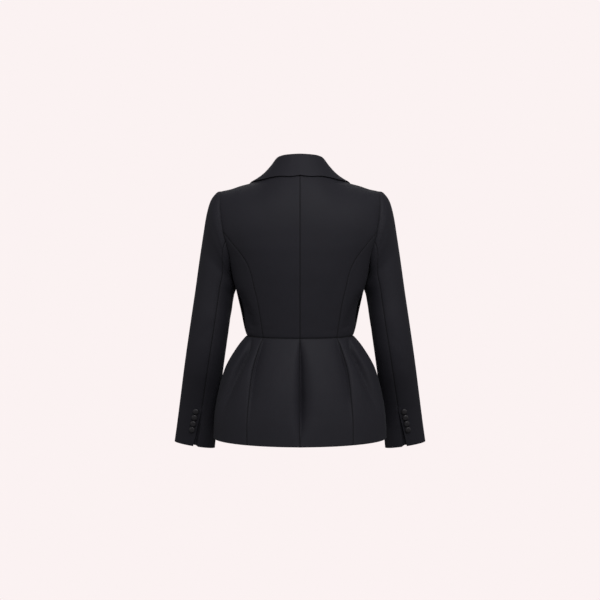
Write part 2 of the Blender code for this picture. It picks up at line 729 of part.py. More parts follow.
def make_cuff_buttons(side, label, rows, normals, hind, collection):
    """Four buttons beside the vent, each raised just clear of the upper sleeve."""
    for i in range(4):
        share = BUTTON_REACH + BUTTON_SLANT * i
        path = (1.0 - share) * rows[:, hind - 1] + share * rows[:, hind - 2]
        away = (1.0 - share) * normals[:, hind - 1] + share * normals[:, hind - 2]
        height = FIRST_BUTTON_Z - BUTTON_PITCH * i
        k = int(np.argmax(path[:, 2] < height))
        part = (height - path[k - 1, 2]) / (path[k, 2] - path[k - 1, 2])
        point = path[k - 1] + (path[k] - path[k - 1]) * part
        normal = away[k]
        mirror = np.array([side, 1.0, 1.0])
        place = (point + normal * 0.0008) * mirror
        make_button("cuff_button_" + label + "_" + str(i + 1), place, normal * mirror, collection)


def make_front_button(collection):
    """The button that closes the front, just above the waist."""
    level = 0.11
    point = over_shoulder(0.0, 4.0 - level, 0.0008)
    make_button("front_button", point, body_normal(0.0, level, False), collection)


def clear_scene():
    """Removes what a new scene holds."""
    for old in list(bpy.data.objects):
        bpy.data.objects.remove(old, do_unlink=True)


def main():
    """Builds every piece of the jacket."""
    clear_scene()
    jacket = bpy.data.collections.new("peplum_jacket")
    bpy.context.scene.collection.children.link(jacket)
    for side, label in ((1.0, "left"), (-1.0, "right")):
        make_bodice(side, label, jacket)
        make_peplum(side, label, jacket)
        rows, normals, hind = make_sleeve(side, label, jacket)
        make_cuff_buttons(side, label, rows, normals, hind, jacket)
        make_lapel(side, label, jacket)
    make_collar(jacket)
    make_front_button(jacket)


main()
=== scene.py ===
"""The looks of a fitted peplum jacket: cloth shells, covered buttons, floor, light and camera.

Metres, +Z up. The back of the jacket faces +Y and the wearer's left is +X.
"""

import logging
import math
from dataclasses import dataclass, field
from enum import Enum
from typing import Callable, Sequence

import bmesh
import bpy
import numpy as np
from mathutils import Matrix, Vector


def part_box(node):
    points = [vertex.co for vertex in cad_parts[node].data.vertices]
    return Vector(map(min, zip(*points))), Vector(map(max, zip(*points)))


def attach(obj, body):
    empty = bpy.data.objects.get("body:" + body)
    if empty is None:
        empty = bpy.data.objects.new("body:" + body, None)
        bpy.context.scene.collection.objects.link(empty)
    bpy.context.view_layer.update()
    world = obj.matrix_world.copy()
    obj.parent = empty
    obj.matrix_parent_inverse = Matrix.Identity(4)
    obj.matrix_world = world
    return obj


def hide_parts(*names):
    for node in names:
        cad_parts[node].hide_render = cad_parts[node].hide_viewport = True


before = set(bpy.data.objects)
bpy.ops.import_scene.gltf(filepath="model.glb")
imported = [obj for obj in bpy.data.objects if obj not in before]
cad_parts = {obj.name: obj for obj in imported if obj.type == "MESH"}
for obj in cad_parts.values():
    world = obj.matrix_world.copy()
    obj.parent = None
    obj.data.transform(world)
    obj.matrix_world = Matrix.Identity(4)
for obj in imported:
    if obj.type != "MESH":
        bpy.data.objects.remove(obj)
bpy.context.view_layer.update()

LOG = logging.getLogger("jacket")
Array = np.ndarray

# Heights, and distances from the centre, that the pieces share. A level is 0 at the waist, 1 at
# the chest and 2 at the shoulder seam.
WAIST_Z = -0.358
HEM_Z = -0.5965
UNDERARM_Z = -0.2055
NECK_X = 0.078
TIP_X = 0.1857
NAPE_LEVEL = 1.627

# How far each front passes the centre, and between which x the left front sinks below the right.
WRAP = 0.020
LAP_EDGE = (0.060, 0.024)

# How far from a seam the close rows of points beside it lie.
SEAM_STEPS = (0.0, 0.0005, 0.0011, 0.0019, 0.0030, 0.0046)

# What leaves only the level part of a direction, and the way up.
LEVEL = np.array([1.0, 1.0, 0.0])
UPWARD = np.array([0.0, 0.0, 1.0])

# The collar and lapels are of thicker cloth than the rest, with rounder rims.
STIFFENED = {"thickness": 0.0017, "rounding": 0.0006, "ditch": 0.0004}


class Labelled(Enum):
    """A choice whose own name is used in the names of the pieces."""

    @property
    def label(self) -> str:
        """The word used in the names of the pieces."""
        return self.name.lower()


class Side(Labelled):
    """The wearer's side that a piece belongs to; the value is the sign of its x."""

    LEFT = 1.0
    RIGHT = -1.0

    @property
    def mirror(self) -> Array:
        """What a point of the left side is multiplied by."""
        return np.array([self.value, 1.0, 1.0])


class Half(Labelled):
    """The back or the front of the jacket; the value is the sign of its y."""

    BACK = 1.0
    FRONT = -1.0


class Edge(Enum):
    """How one edge of a cloth piece is finished."""

    SEAM = "seam"
    BARE = "bare"
    HEM = "hem"


class Curve:
    """A smooth curve through points, held flat past its ends."""

    def __init__(self, places: Sequence[float], values: Sequence[float]) -> None:
        """Keeps the points and works out the slope at each.

        Args:
            places: Where the points lie, in rising order.
            values: The value at each place.
        """
        self.places = np.array(places, float)
        self.values = np.array(values, float)
        steps = np.diff(self.values) / np.diff(self.places)
        left, right = steps[:-1], steps[1:]
        total = left + right
        total[total == 0.0] = 1.0
        inner = np.where(left * right > 0.0, 2.0 * left * right / total, 0.0)
        self.slopes = np.concatenate([steps[:1], inner, steps[-1:]])

    def __call__(self, at: Array | float) -> Array:
        """The values at some places.

        Args:
            at: One place or an array of them.

        Returns:
            The values, in the same shape.
        """
        at = np.clip(at, self.places[0], self.places[-1])
        i = np.clip(np.searchsorted(self.places, at, side="right") - 1, 0, len(self.places) - 2)
        width = self.places[i + 1] - self.places[i]
        t = (at - self.places[i]) / width
        return ((1 + 2 * t) * (1 - t) ** 2 * self.values[i]
                + t * (1 - t) ** 2 * width * self.slopes[i]
                + t * t * (3 - 2 * t) * self.values[i + 1]
                + t * t * (t - 1) * width * self.slopes[i + 1])


class Table:
    """Rows of numbers with named columns, read as smooth curves along the first column."""

    def __init__(self, names: str, rows: Sequence[Sequence[float]]) -> None:
        """Makes one curve for each column after the first.

        Args:
            names: The column names, parted by spaces.
            rows: The rows, in either order of their first value.
        """
        words = names.split()
        ordered = sorted(rows)
        places = [row[0] for row in ordered]
        self.curves = {word: Curve(places, [row[i] for row in ordered])
                       for i, word in enumerate(words) if i}

    def __getattr__(self, name: str) -> Curve:
        """The curve of a column."""
        try:
            return self.__dict__["curves"][name]
        except KeyError:
            raise AttributeError(name) from None


# The forms, read off the photograph across the jacket and guessed from front to back. Angles
# and the widths of folds are in degrees, and a height runs from 0 at the waist to 1 at the hem.
BODY = Table("z half_width back front roundness", [
    (-0.358, 0.1257, 0.088, 0.098, 2.0), (-0.341, 0.1308, 0.090, 0.101, 2.0),
    (-0.303, 0.1390, 0.095, 0.108, 2.05), (-0.266, 0.1480, 0.100, 0.118, 2.1),
    (-0.243, 0.1535, 0.103, 0.124, 2.15), (-0.2055, 0.1630, 0.108, 0.129, 2.2),
    (-0.175, 0.1735, 0.1105, 0.130, 2.25), (-0.144, 0.1870, 0.112, 0.130, 2.3),
    (-0.115, 0.1970, 0.112, 0.130, 2.3), (-0.060, 0.2020, 0.112, 0.130, 2.3),
    (0.000, 0.2050, 0.112, 0.130, 2.3),
])
SKIRT = Table("z half_width back front", [
    (-0.358, 0.1262, 0.088, 0.098), (-0.378, 0.1430, 0.098, 0.106), (-0.397, 0.1560, 0.107, 0.113),
    (-0.416, 0.1675, 0.115, 0.120), (-0.4346, 0.1765, 0.122, 0.126), (-0.483, 0.1905, 0.137, 0.137),
    (-0.550, 0.2015, 0.149, 0.145), (-0.5965, 0.2033, 0.153, 0.148),
])
SHOULDER_LINE = Curve([0.0, 0.04, 0.07, 0.085, 0.10, 0.116, 0.14, 0.163, 0.187, 0.21],
                      [0.0675, 0.050, 0.0265, 0.0145, 0.0057, -0.0003, -0.0068, -0.0145, -0.0195, -0.026])
BACK_PRINCESS = Curve([-0.358, -0.315, -0.277, -0.239, -0.215, -0.189, -0.166, -0.142, -0.115],
                      [0.0855, 0.0915, 0.0976, 0.1065, 0.1118, 0.1213, 0.1358, 0.1555, 0.1780])
FRONT_PRINCESS = Curve([0.0, 0.35, 0.64, 0.94, 1.10, 1.304], [0.076, 0.082, 0.089, 0.104, 0.126, 0.172])
BACK_ARMHOLE = Curve([1.0, 1.22, 1.5, 2.0], [0.178, 0.1835, 0.1868, TIP_X])
FRONT_ARMHOLE = Curve([1.304, 1.5, 1.75, 2.0], [0.172, 0.1775, 0.1835, TIP_X])
ROLL_LINE = Curve([0.345, 0.643, 1.0, 1.304, 1.5, 1.7, 1.85, 2.0],
                  [-0.018, -0.004, 0.0128, 0.0387, 0.0565, 0.0665, 0.0725, NECK_X])
LAPEL_EDGE = Curve([0.36, 0.45, 0.70, 1.0, 1.30, 1.51], [-0.013, 0.008, 0.050, 0.085, 0.112, 0.127])
SKIRT_SEAM = Curve([0.0, 0.17, 0.35, 0.6, 1.0], [42.4, 40.5, 39.2, 37.6, 36.5])
CENTRE_FOLD = Table("height angle depth centre_side outer_side", [
    (0.00, 0.0, 0.0006, 3.2, 2.4), (0.08, -0.3, 0.0070, 2.9, 2.1), (0.20, -0.6, 0.0155, 3.6, 2.5),
    (0.40, -0.8, 0.0230, 4.4, 2.9), (0.55, -0.9, 0.0258, 4.7, 3.0), (0.70, -0.8, 0.0222, 4.6, 2.8),
    (0.82, -0.7, 0.0140, 4.0, 2.5), (0.92, -0.4, 0.0060, 3.3, 2.1), (1.00, 0.0, 0.0010, 3.0, 2.2),
])
SEAM_VALLEY = Table("height angle depth centre_side outer_side", [
    (0.00, 41.3, 0.0003, 5.0, 1.3), (0.06, 40.6, 0.0065, 5.6, 1.3), (0.16, 39.4, 0.0112, 6.6, 1.4),
    (0.32, 38.2, 0.0138, 7.2, 1.5), (0.50, 36.9, 0.0108, 7.0, 1.5), (0.68, 35.9, 0.0052, 6.2, 1.5),
    (0.85, 35.5, 0.0014, 5.5, 1.5), (1.00, 35.3, 0.0004, 5.0, 1.5),
])
SIDE_VALLEY = Table("height angle depth centre_side outer_side", [
    (0.00, 64.0, 0.0005, 5.0, 2.6), (0.07, 58.5, 0.0085, 5.5, 2.4), (0.15, 56.0, 0.0145, 6.5, 2.5),
    (0.30, 57.4, 0.0175, 7.4, 2.7), (0.48, 60.2, 0.0128, 7.4, 2.9), (0.66, 63.6, 0.0058, 6.6, 3.4),
    (0.85, 68.0, 0.0010, 6.0, 5.0), (1.00, 71.0, 0.0000, 6.0, 5.0),
])
# From the nape round to the gorge seam: neckline x and level, fold x, y and z, then the edge's
# x, level and lift. A level past 2 lies in front of the shoulder seam.
COLLAR_STATIONS = [
    (0.0000, 1.627, 0.0000, 0.0580, 0.0670, 0.0000, 1.507, 0.0042),
    (0.0156, 1.642, 0.0170, 0.0560, 0.0665, 0.0200, 1.522, 0.0042),
    (0.0312, 1.687, 0.0335, 0.0485, 0.0650, 0.0420, 1.571, 0.0042),
    (0.0468, 1.761, 0.0480, 0.0345, 0.0618, 0.0670, 1.668, 0.0042),
    (0.0624, 1.866, 0.0570, 0.0150, 0.0545, 0.0890, 1.785, 0.0042),
    (0.0780, 2.000, 0.0608, -0.0060, 0.0432, 0.1040, 1.895, 0.0038),
    (0.0725, 2.150, 0.0635, -0.0270, 0.0290, 0.1130, 2.030, 0.0036),
    (0.0690, 2.230, 0.0648, -0.0400, 0.0185, 0.1190, 2.130, 0.0036),
    (0.0660, 2.310, 0.0640, -0.0530, 0.0040, 0.1215, 2.220, 0.0034),
    (0.0628, 2.380, 0.0612, -0.0660, -0.0115, 0.1205, 2.300, 0.0032),
]
# From the armhole to the cuff: outer x and z, inner x and z, middle y and half depth.
SLEEVE_RINGS = [
    (0.1860, -0.0195, 0.1634, -0.2055, 0.000, 0.0590), (0.1925, -0.0205, 0.1632, -0.2095, -0.001, 0.0600),
    (0.2005, -0.0275, 0.1623, -0.2130, -0.003, 0.0615), (0.2095, -0.0400, 0.1613, -0.2170, -0.006, 0.0630),
    (0.2165, -0.0590, 0.1599, -0.2215, -0.011, 0.0640), (0.2225, -0.0850, 0.1573, -0.2275, -0.016, 0.0645),
    (0.2282, -0.1180, 0.1542, -0.2350, -0.024, 0.0640), (0.2345, -0.1570, 0.1508, -0.2470, -0.030, 0.0630),
    (0.2408, -0.2010, 0.1562, -0.2650, -0.030, 0.0610), (0.2480, -0.2540, 0.1600, -0.2900, -0.028, 0.0580),
    (0.2565, -0.3130, 0.1660, -0.3300, -0.024, 0.0550), (0.2650, -0.3700, 0.1740, -0.3840, -0.026, 0.0520),
    (0.2740, -0.4300, 0.1825, -0.4440, -0.036, 0.0480), (0.2825, -0.4870, 0.1900, -0.5020, -0.055, 0.0430),
    (0.2895, -0.5350, 0.1960, -0.5500, -0.070, 0.0385), (0.2960, -0.5800, 0.2010, -0.5950, -0.081, 0.0350),
    (0.3020, -0.6190, 0.2050, -0.6345, -0.089, 0.0325),
]


def soft_step(low: float, high: float, at: Array | float) -> Array:
    """0 below low, 1 above high and a soft step between; low may be above high."""
    t = np.clip((at - low) / (high - low), 0.0, 1.0)
    return t * t * (3.0 - 2.0 * t)


def signed_power(value: Array, exponent: Array | float) -> Array:
    """A power that keeps the sign of the value."""
    return np.sign(value) * np.abs(value) ** exponent


def unit(vectors: Array) -> Array:
    """The vectors, each made one unit long."""
    return vectors / np.maximum(np.linalg.norm(vectors, axis=-1, keepdims=True), 1e-12)


def bell(at: Array, width: float) -> Array:
    """1 at zero, falling away smoothly on both sides."""
    return np.exp(-(at / width) ** 2)


def distances(points: Array, axis: int = 0) -> Array:
    """Metres from the first point of each line that runs along one axis of a grid."""
    steps = np.linalg.norm(np.diff(points, axis=axis), axis=-1)
    before = [(0, 0)] * steps.ndim
    before[axis] = (1, 0)
    return np.pad(np.cumsum(steps, axis=axis), before)


def normals_of(form: Callable[[Array, Array], Array], u: Array, v: Array,
               du: float, dv: float, outward: Array) -> Array:
    """Unit normals of a surface given as a function.

    Args:
        form: The surface, from two parameters to points.
        u: The first parameter of each point.
        v: The second parameter of each point.
        du: The step used along u.
        dv: The step used along v.
        outward: A rough outward direction at each point.

    Returns:
        The normals, turned to the outward side.
    """
    across = form(u + du, v) - form(u - du, v)
    up = form(u, v + dv) - form(u, v - dv)
    normals = unit(np.cross(across, up))
    side = np.sum(normals * outward, axis=-1, keepdims=True)
    return np.where(side >= 0.0, normals, -normals)


@dataclass(frozen=True)
class Crease:
    """A soft trough or ridge, given as a bent line in a piece's own plan.

    A positive depth is a trough and a negative one a ridge. The line runs from the start,
    past the bend, to the end, and fades out at both ends. Depth and width are in metres.
    """

    start: tuple[float, float]
    bend: tuple[float, float]
    end: tuple[float, float]
    depth: float
    width: float
    samples: int = 25
    end_share: float = 0.02
    fade_power: float = 0.6

    def height(self, across: Array, along: Array) -> Array:
        """How far the cloth stands out at places of the plan.

        Args:
            across: The first plan coordinate of each place.
            along: The second plan coordinate of each place.

        Returns:
            The height at each place, below zero in a trough.
        """
        t = np.linspace(0.0, 1.0, self.samples)
        line = [(1 - t) ** 2 * a + 2 * t * (1 - t) * b + t * t * c
                for a, b, c in zip(self.start, self.bend, self.end)]
        gap = (across[..., None] - line[0]) ** 2 + (along[..., None] - line[1]) ** 2
        nearest = t[np.argmin(gap, axis=-1)]
        inside = np.clip(nearest, self.end_share, 1.0 - self.end_share)
        fade = np.sin(math.pi * inside) ** self.fade_power
        return -self.depth * fade * np.exp(-np.min(gap, axis=-1) / self.width ** 2)


# The creases of each piece. Their plans are x and z on the bodice and collar, and across and down
# the cloth, in metres, on the peplum; on the sleeves they are metres round the arm, and z.
CREASES = {
    "back_left": (
        Crease((0.112, -0.332), (0.085, -0.341), (0.052, -0.337), 0.0005, 0.0050),
        Crease((0.096, -0.318), (0.078, -0.325), (0.060, -0.322), 0.0003, 0.0050),
        Crease((0.158, -0.090), (0.142, -0.150), (0.122, -0.210), 0.0008, 0.0120),
        Crease((0.050, -0.030), (0.092, -0.055), (0.140, -0.080), -0.0006, 0.0200),
        Crease((0.062, -0.230), (0.074, -0.280), (0.078, -0.330), 0.0005, 0.0110),
    ),
    "back_right": (
        Crease((0.105, -0.336), (0.080, -0.344), (0.046, -0.340), 0.0005, 0.0055),
        Crease((0.160, -0.085), (0.145, -0.140), (0.126, -0.200), 0.0007, 0.0130),
        Crease((0.046, -0.035), (0.085, -0.062), (0.136, -0.092), -0.0006, 0.0190),
        Crease((0.056, -0.245), (0.068, -0.290), (0.071, -0.335), 0.0004, 0.0100),
        Crease((0.022, -0.300), (0.030, -0.325), (0.034, -0.345), 0.0003, 0.0070),
    ),
    "side_back_left": (
        Crease((0.152, -0.252), (0.135, -0.288), (0.112, -0.352), 0.0090, 0.0165),
        Crease((0.128, -0.322), (0.112, -0.335), (0.098, -0.332), 0.0006, 0.0050),
        Crease((0.134, -0.300), (0.118, -0.312), (0.104, -0.310), 0.0004, 0.0050),
    ),
    "side_back_right": (
        Crease((0.151, -0.255), (0.134, -0.290), (0.113, -0.350), 0.0086, 0.0170),
        Crease((0.126, -0.328), (0.110, -0.339), (0.096, -0.337), 0.0006, 0.0050),
    ),
    "side_front_left": (
        Crease((0.148, -0.222), (0.124, -0.280), (0.104, -0.350), 0.0045, 0.0135),
        Crease((0.124, -0.326), (0.106, -0.338), (0.090, -0.335), 0.0007, 0.0055),
        Crease((0.130, -0.300), (0.112, -0.316), (0.096, -0.313), 0.0005, 0.0050),
    ),
    "side_front_right": (
        Crease((0.150, -0.218), (0.126, -0.276), (0.105, -0.346), 0.0042, 0.0140),
        Crease((0.122, -0.320), (0.104, -0.334), (0.086, -0.330), 0.0007, 0.0055),
    ),
    "front_left": (
        Crease((0.070, -0.325), (0.045, -0.318), (0.022, -0.325), 0.0007, 0.0060),
        Crease((0.075, -0.300), (0.048, -0.290), (0.024, -0.305), 0.0005, 0.0060),
        Crease((0.168, -0.070), (0.150, -0.110), (0.138, -0.160), 0.0010, 0.0120),
    ),
    "front_right": (
        Crease((0.076, -0.330), (0.046, -0.320), (-0.004, -0.326), 0.0008, 0.0060),
        Crease((0.070, -0.306), (0.040, -0.294), (0.004, -0.308), 0.0005, 0.0060),
        Crease((0.165, -0.075), (0.148, -0.118), (0.135, -0.170), 0.0010, 0.0120),
    ),
    "upper_sleeve_left": (
        Crease((0.064, -0.050), (0.060, -0.085), (0.046, -0.128), -0.0014, 0.0075),
        Crease((0.086, -0.090), (0.082, -0.150), (0.092, -0.220), 0.0013, 0.0110),
        Crease((-0.104, -0.328), (-0.070, -0.346), (-0.028, -0.334), 0.0020, 0.0075),
        Crease((-0.112, -0.358), (-0.076, -0.373), (-0.044, -0.366), 0.0014, 0.0065),
        Crease((-0.106, -0.394), (-0.082, -0.402), (-0.058, -0.398), 0.0010, 0.0060),
        Crease((0.102, -0.330), (0.072, -0.352), (0.040, -0.392), 0.0007, 0.0110),
        Crease((0.016, -0.485), (0.034, -0.535), (0.038, -0.592), 0.0006, 0.0120),
        Crease((-0.060, -0.090), (-0.066, -0.130), (-0.060, -0.190), 0.0012, 0.0100),
    ),
    "upper_sleeve_right": (
        Crease((0.066, -0.046), (0.061, -0.082), (0.048, -0.120), -0.0013, 0.0075),
        Crease((0.087, -0.095), (0.084, -0.160), (0.094, -0.235), 0.0012, 0.0115),
        Crease((-0.108, -0.336), (-0.072, -0.350), (-0.034, -0.342), 0.0019, 0.0075),
        Crease((-0.100, -0.312), (-0.074, -0.322), (-0.050, -0.316), 0.0011, 0.0060),
        Crease((-0.110, -0.372), (-0.080, -0.384), (-0.050, -0.380), 0.0012, 0.0065),
        Crease((0.098, -0.352), (0.070, -0.372), (0.044, -0.410), 0.0006, 0.0110),
        Crease((0.020, -0.470), (0.036, -0.520), (0.040, -0.575), 0.0006, 0.0120),
        Crease((-0.058, -0.095), (-0.064, -0.140), (-0.057, -0.205), 0.0011, 0.0105),
    ),
    "under_sleeve_left": (
        Crease((0.155, -0.212), (0.173, -0.222), (0.190, -0.214), -0.0014, 0.0110),
        Crease((0.124, -0.245), (0.148, -0.272), (0.176, -0.286), 0.0016, 0.0080),
        Crease((0.132, -0.280), (0.158, -0.310), (0.184, -0.326), 0.0011, 0.0090),
        Crease((0.236, -0.334), (0.212, -0.346), (0.172, -0.340), 0.0018, 0.0075),
        Crease((0.232, -0.364), (0.206, -0.374), (0.180, -0.370), 0.0011, 0.0065),
    ),
    "under_sleeve_right": (
        Crease((0.155, -0.214), (0.173, -0.223), (0.190, -0.213), -0.0014, 0.0110),
        Crease((0.126, -0.250), (0.150, -0.280), (0.178, -0.296), 0.0015, 0.0080),
        Crease((0.238, -0.342), (0.214, -0.352), (0.176, -0.346), 0.0017, 0.0075),
        Crease((0.230, -0.318), (0.208, -0.326), (0.186, -0.320), 0.0010, 0.0060),
    ),
    "peplum_back_left": (
        Crease((0.030, 0.030), (0.042, 0.090), (0.044, 0.170), -0.0012, 0.0120),
        Crease((0.020, 0.150), (0.026, 0.190), (0.030, 0.232), 0.0008, 0.0100),
    ),
    "peplum_back_right": (
        Crease((0.034, 0.040), (0.046, 0.100), (0.047, 0.180), -0.0011, 0.0120),
        Crease((0.024, 0.160), (0.031, 0.200), (0.034, 0.234), 0.0007, 0.0100),
    ),
    "peplum_side_back_left": (
        Crease((0.154, 0.125), (0.162, 0.175), (0.167, 0.236), -0.0018, 0.0065),
        Crease((0.106, 0.040), (0.104, 0.110), (0.100, 0.200), -0.0010, 0.0100),
    ),
    "peplum_side_back_right": (
        Crease((0.155, 0.130), (0.163, 0.180), (0.168, 0.236), -0.0017, 0.0065),
        Crease((0.105, 0.035), (0.103, 0.100), (0.098, 0.190), -0.0010, 0.0105),
    ),
    "peplum_side_front_left": (
        Crease((0.154, 0.120), (0.161, 0.170), (0.166, 0.236), -0.0016, 0.0070),
        Crease((0.110, 0.050), (0.108, 0.120), (0.104, 0.200), -0.0010, 0.0110),
    ),
    "peplum_side_front_right": (
        Crease((0.153, 0.115), (0.160, 0.165), (0.165, 0.236), -0.0015, 0.0070),
        Crease((0.108, 0.045), (0.106, 0.110), (0.101, 0.190), -0.0010, 0.0110),
    ),
    "peplum_front_left": (
        Crease((0.034, 0.060), (0.040, 0.120), (0.043, 0.200), 0.0014, 0.0120),
    ),
    "peplum_front_right": (
        Crease((0.030, 0.050), (0.037, 0.115), (0.040, 0.205), 0.0015, 0.0120),
        Crease((0.008, 0.020), (0.012, 0.080), (0.015, 0.160), -0.0008, 0.0110),
    ),
    "collar": (
        Crease((-0.060, 0.045), (-0.030, 0.042), (0.004, 0.046), 0.0003, 0.0060),
        Crease((0.020, 0.040), (0.050, 0.034), (0.085, 0.020), -0.0003, 0.0080),
    ),
}


def all_creases(name: str, across: Array, along: Array) -> Array:
    """The heights of all creases of the named piece, added up."""
    total = np.zeros(np.shape(across))
    for crease in CREASES.get(name, ()):
        total = total + crease.height(across, along)
    return total


class BodyForm:
    """The form of the bodice: angle 0 is the centre back or front, 90 degrees the side.

    Level 0 is the waist, 1 the chest and 2 the shoulder seam.
    """

    BASES = {Half.BACK: -0.115, Half.FRONT: -0.190}
    DOMES = {Half.BACK: 2.0, Half.FRONT: 1.6}
    LAST_LEVEL = 1.985

    def heights(self, level: Array, half: Half) -> tuple[Array, Array, Array]:
        """Height, rise over the shoulder and depth share of each level."""
        base, dome = self.BASES[half], self.DOMES[half]
        turn = np.radians(90.0 * np.clip(level - 1.0, 0.0, 1.0))
        rise = np.sin(turn) ** (2.0 / dome)
        depth = np.maximum(np.cos(turn), 0.0) ** (2.0 / dome)
        below = WAIST_Z + (base - WAIST_Z) * np.minimum(level, 1.0)
        return np.where(level > 1.0, base * (1.0 - rise), below), rise, depth

    def point(self, angle: Array, level: Array, half: Half) -> Array:
        """Points of the bodice.

        Args:
            angle: The angle of each point, in degrees.
            level: The level of each point.
            half: The back or the front.

        Returns:
            The points, on a last axis of three.
        """
        z, rise, depth = self.heights(level, half)
        roundness = BODY.roundness(z)
        turn = np.radians(angle)
        x = BODY.half_width(z) * signed_power(np.sin(turn), 2.0 / roundness)
        base = self.BASES[half]
        reach = (BODY.back if half is Half.BACK else BODY.front)(np.minimum(z, base))
        y = reach * signed_power(np.cos(turn), 2.0 / roundness) * depth
        z = np.where(level > 1.0, base + (SHOULDER_LINE(np.abs(x)) - base) * rise, z)
        return np.stack(np.broadcast_arrays(x, y * half.value, z), axis=-1)

    def angle_of(self, x: Array, level: Array, half: Half) -> Array:
        """The angle whose point on a level lies x metres from the centre."""
        z = self.heights(level, half)[0]
        share = np.minimum(np.abs(x) / BODY.half_width(z), 1.0)
        return np.degrees(np.arcsin(share ** (BODY.roundness(z) / 2.0))) * np.sign(x)

    def normal(self, angle: Array, level: Array, half: Half) -> Array:
        """The outward normals of the bodice."""
        here = self.point(angle, level, half)
        outward = np.stack([here[..., 0] * 0.7, here[..., 1],
                            np.maximum(here[..., 2] + 0.12, 0.0) * 1.2], axis=-1)
        return normals_of(lambda a, v: self.point(a, v, half), angle,
                          np.minimum(level, self.LAST_LEVEL), du=0.4, dv=0.012, outward=outward)

    def over_shoulder(self, x: Array, level: Array, lift: Array) -> Array:
        """Points above the body; levels past 2 run down the front from the shoulder seam."""
        x, level, lift = np.broadcast_arrays(np.asarray(x, float), np.asarray(level, float),
                                             np.asarray(lift, float))
        result = np.zeros(x.shape + (3,))
        for half in Half:
            here = level if half is Half.BACK else 4.0 - level
            chosen = level <= 2.0 if half is Half.BACK else level > 2.0
            here = np.minimum(here, 2.0)
            angle = self.angle_of(x, here, half)
            points = self.point(angle, here, half)
            points = points + lift[..., None] * self.normal(angle, here, half)
            result = np.where(chosen[..., None], points, result)
        return result


class SkirtForm:
    """The form of the peplum: height 0 is the waist seam and 1 the hem."""

    FOLD_SHARPNESS = 1.30
    VALLEYS = ((SEAM_VALLEY, 1.35), (SIDE_VALLEY, 1.5))

    def level_z(self, height: Array) -> Array:
        """The z of a height."""
        return WAIST_Z + (HEM_Z - WAIST_Z) * height

    def push(self, table: Table, height: Array, angle: Array, sharpness: float) -> Array:
        """How far one fold pulls the peplum in."""
        centre = table.angle(height)
        width = np.where(angle < centre, table.centre_side(height), table.outer_side(height))
        return table.depth(height) * np.exp(-np.abs((angle - centre) / width) ** sharpness)

    def point(self, angle: Array, height: Array, half: Half) -> Array:
        """Points of the peplum.

        Args:
            angle: The angle of each point, in degrees; only its sign tells the sides apart.
            height: The share of the way from the waist seam to the hem.
            half: The back or the front.

        Returns:
            The points, on a last axis of three.
        """
        z = self.level_z(height)
        turn = np.radians(angle)
        width = SKIRT.half_width(z)
        reach = (SKIRT.back if half is Half.BACK else SKIRT.front)(z)
        push = sum(self.push(table, height, np.abs(angle), sharpness)
                   for table, sharpness in self.VALLEYS)
        if half is Half.BACK:
            push = push + self.push(CENTRE_FOLD, height, angle, self.FOLD_SHARPNESS)
        x, y = width * np.sin(turn), reach * np.cos(turn)
        away = unit(np.stack([x / width ** 2, y / reach ** 2], axis=-1))
        x = x - push * away[..., 0]
        y = y - push * away[..., 1]
        return np.stack(np.broadcast_arrays(x, y * half.value, z), axis=-1)

    def normal(self, angle: Array, height: Array, half: Half) -> Array:
        """The outward normals of the peplum."""
        here = self.point(angle, height, half)
        outward = here * LEVEL
        return normals_of(lambda a, v: self.point(a, v, half), angle,
                          np.clip(height, 0.01, 0.99), du=0.3, dv=0.01, outward=outward)


BODY_FORM = BodyForm()
SKIRT_FORM = SkirtForm()


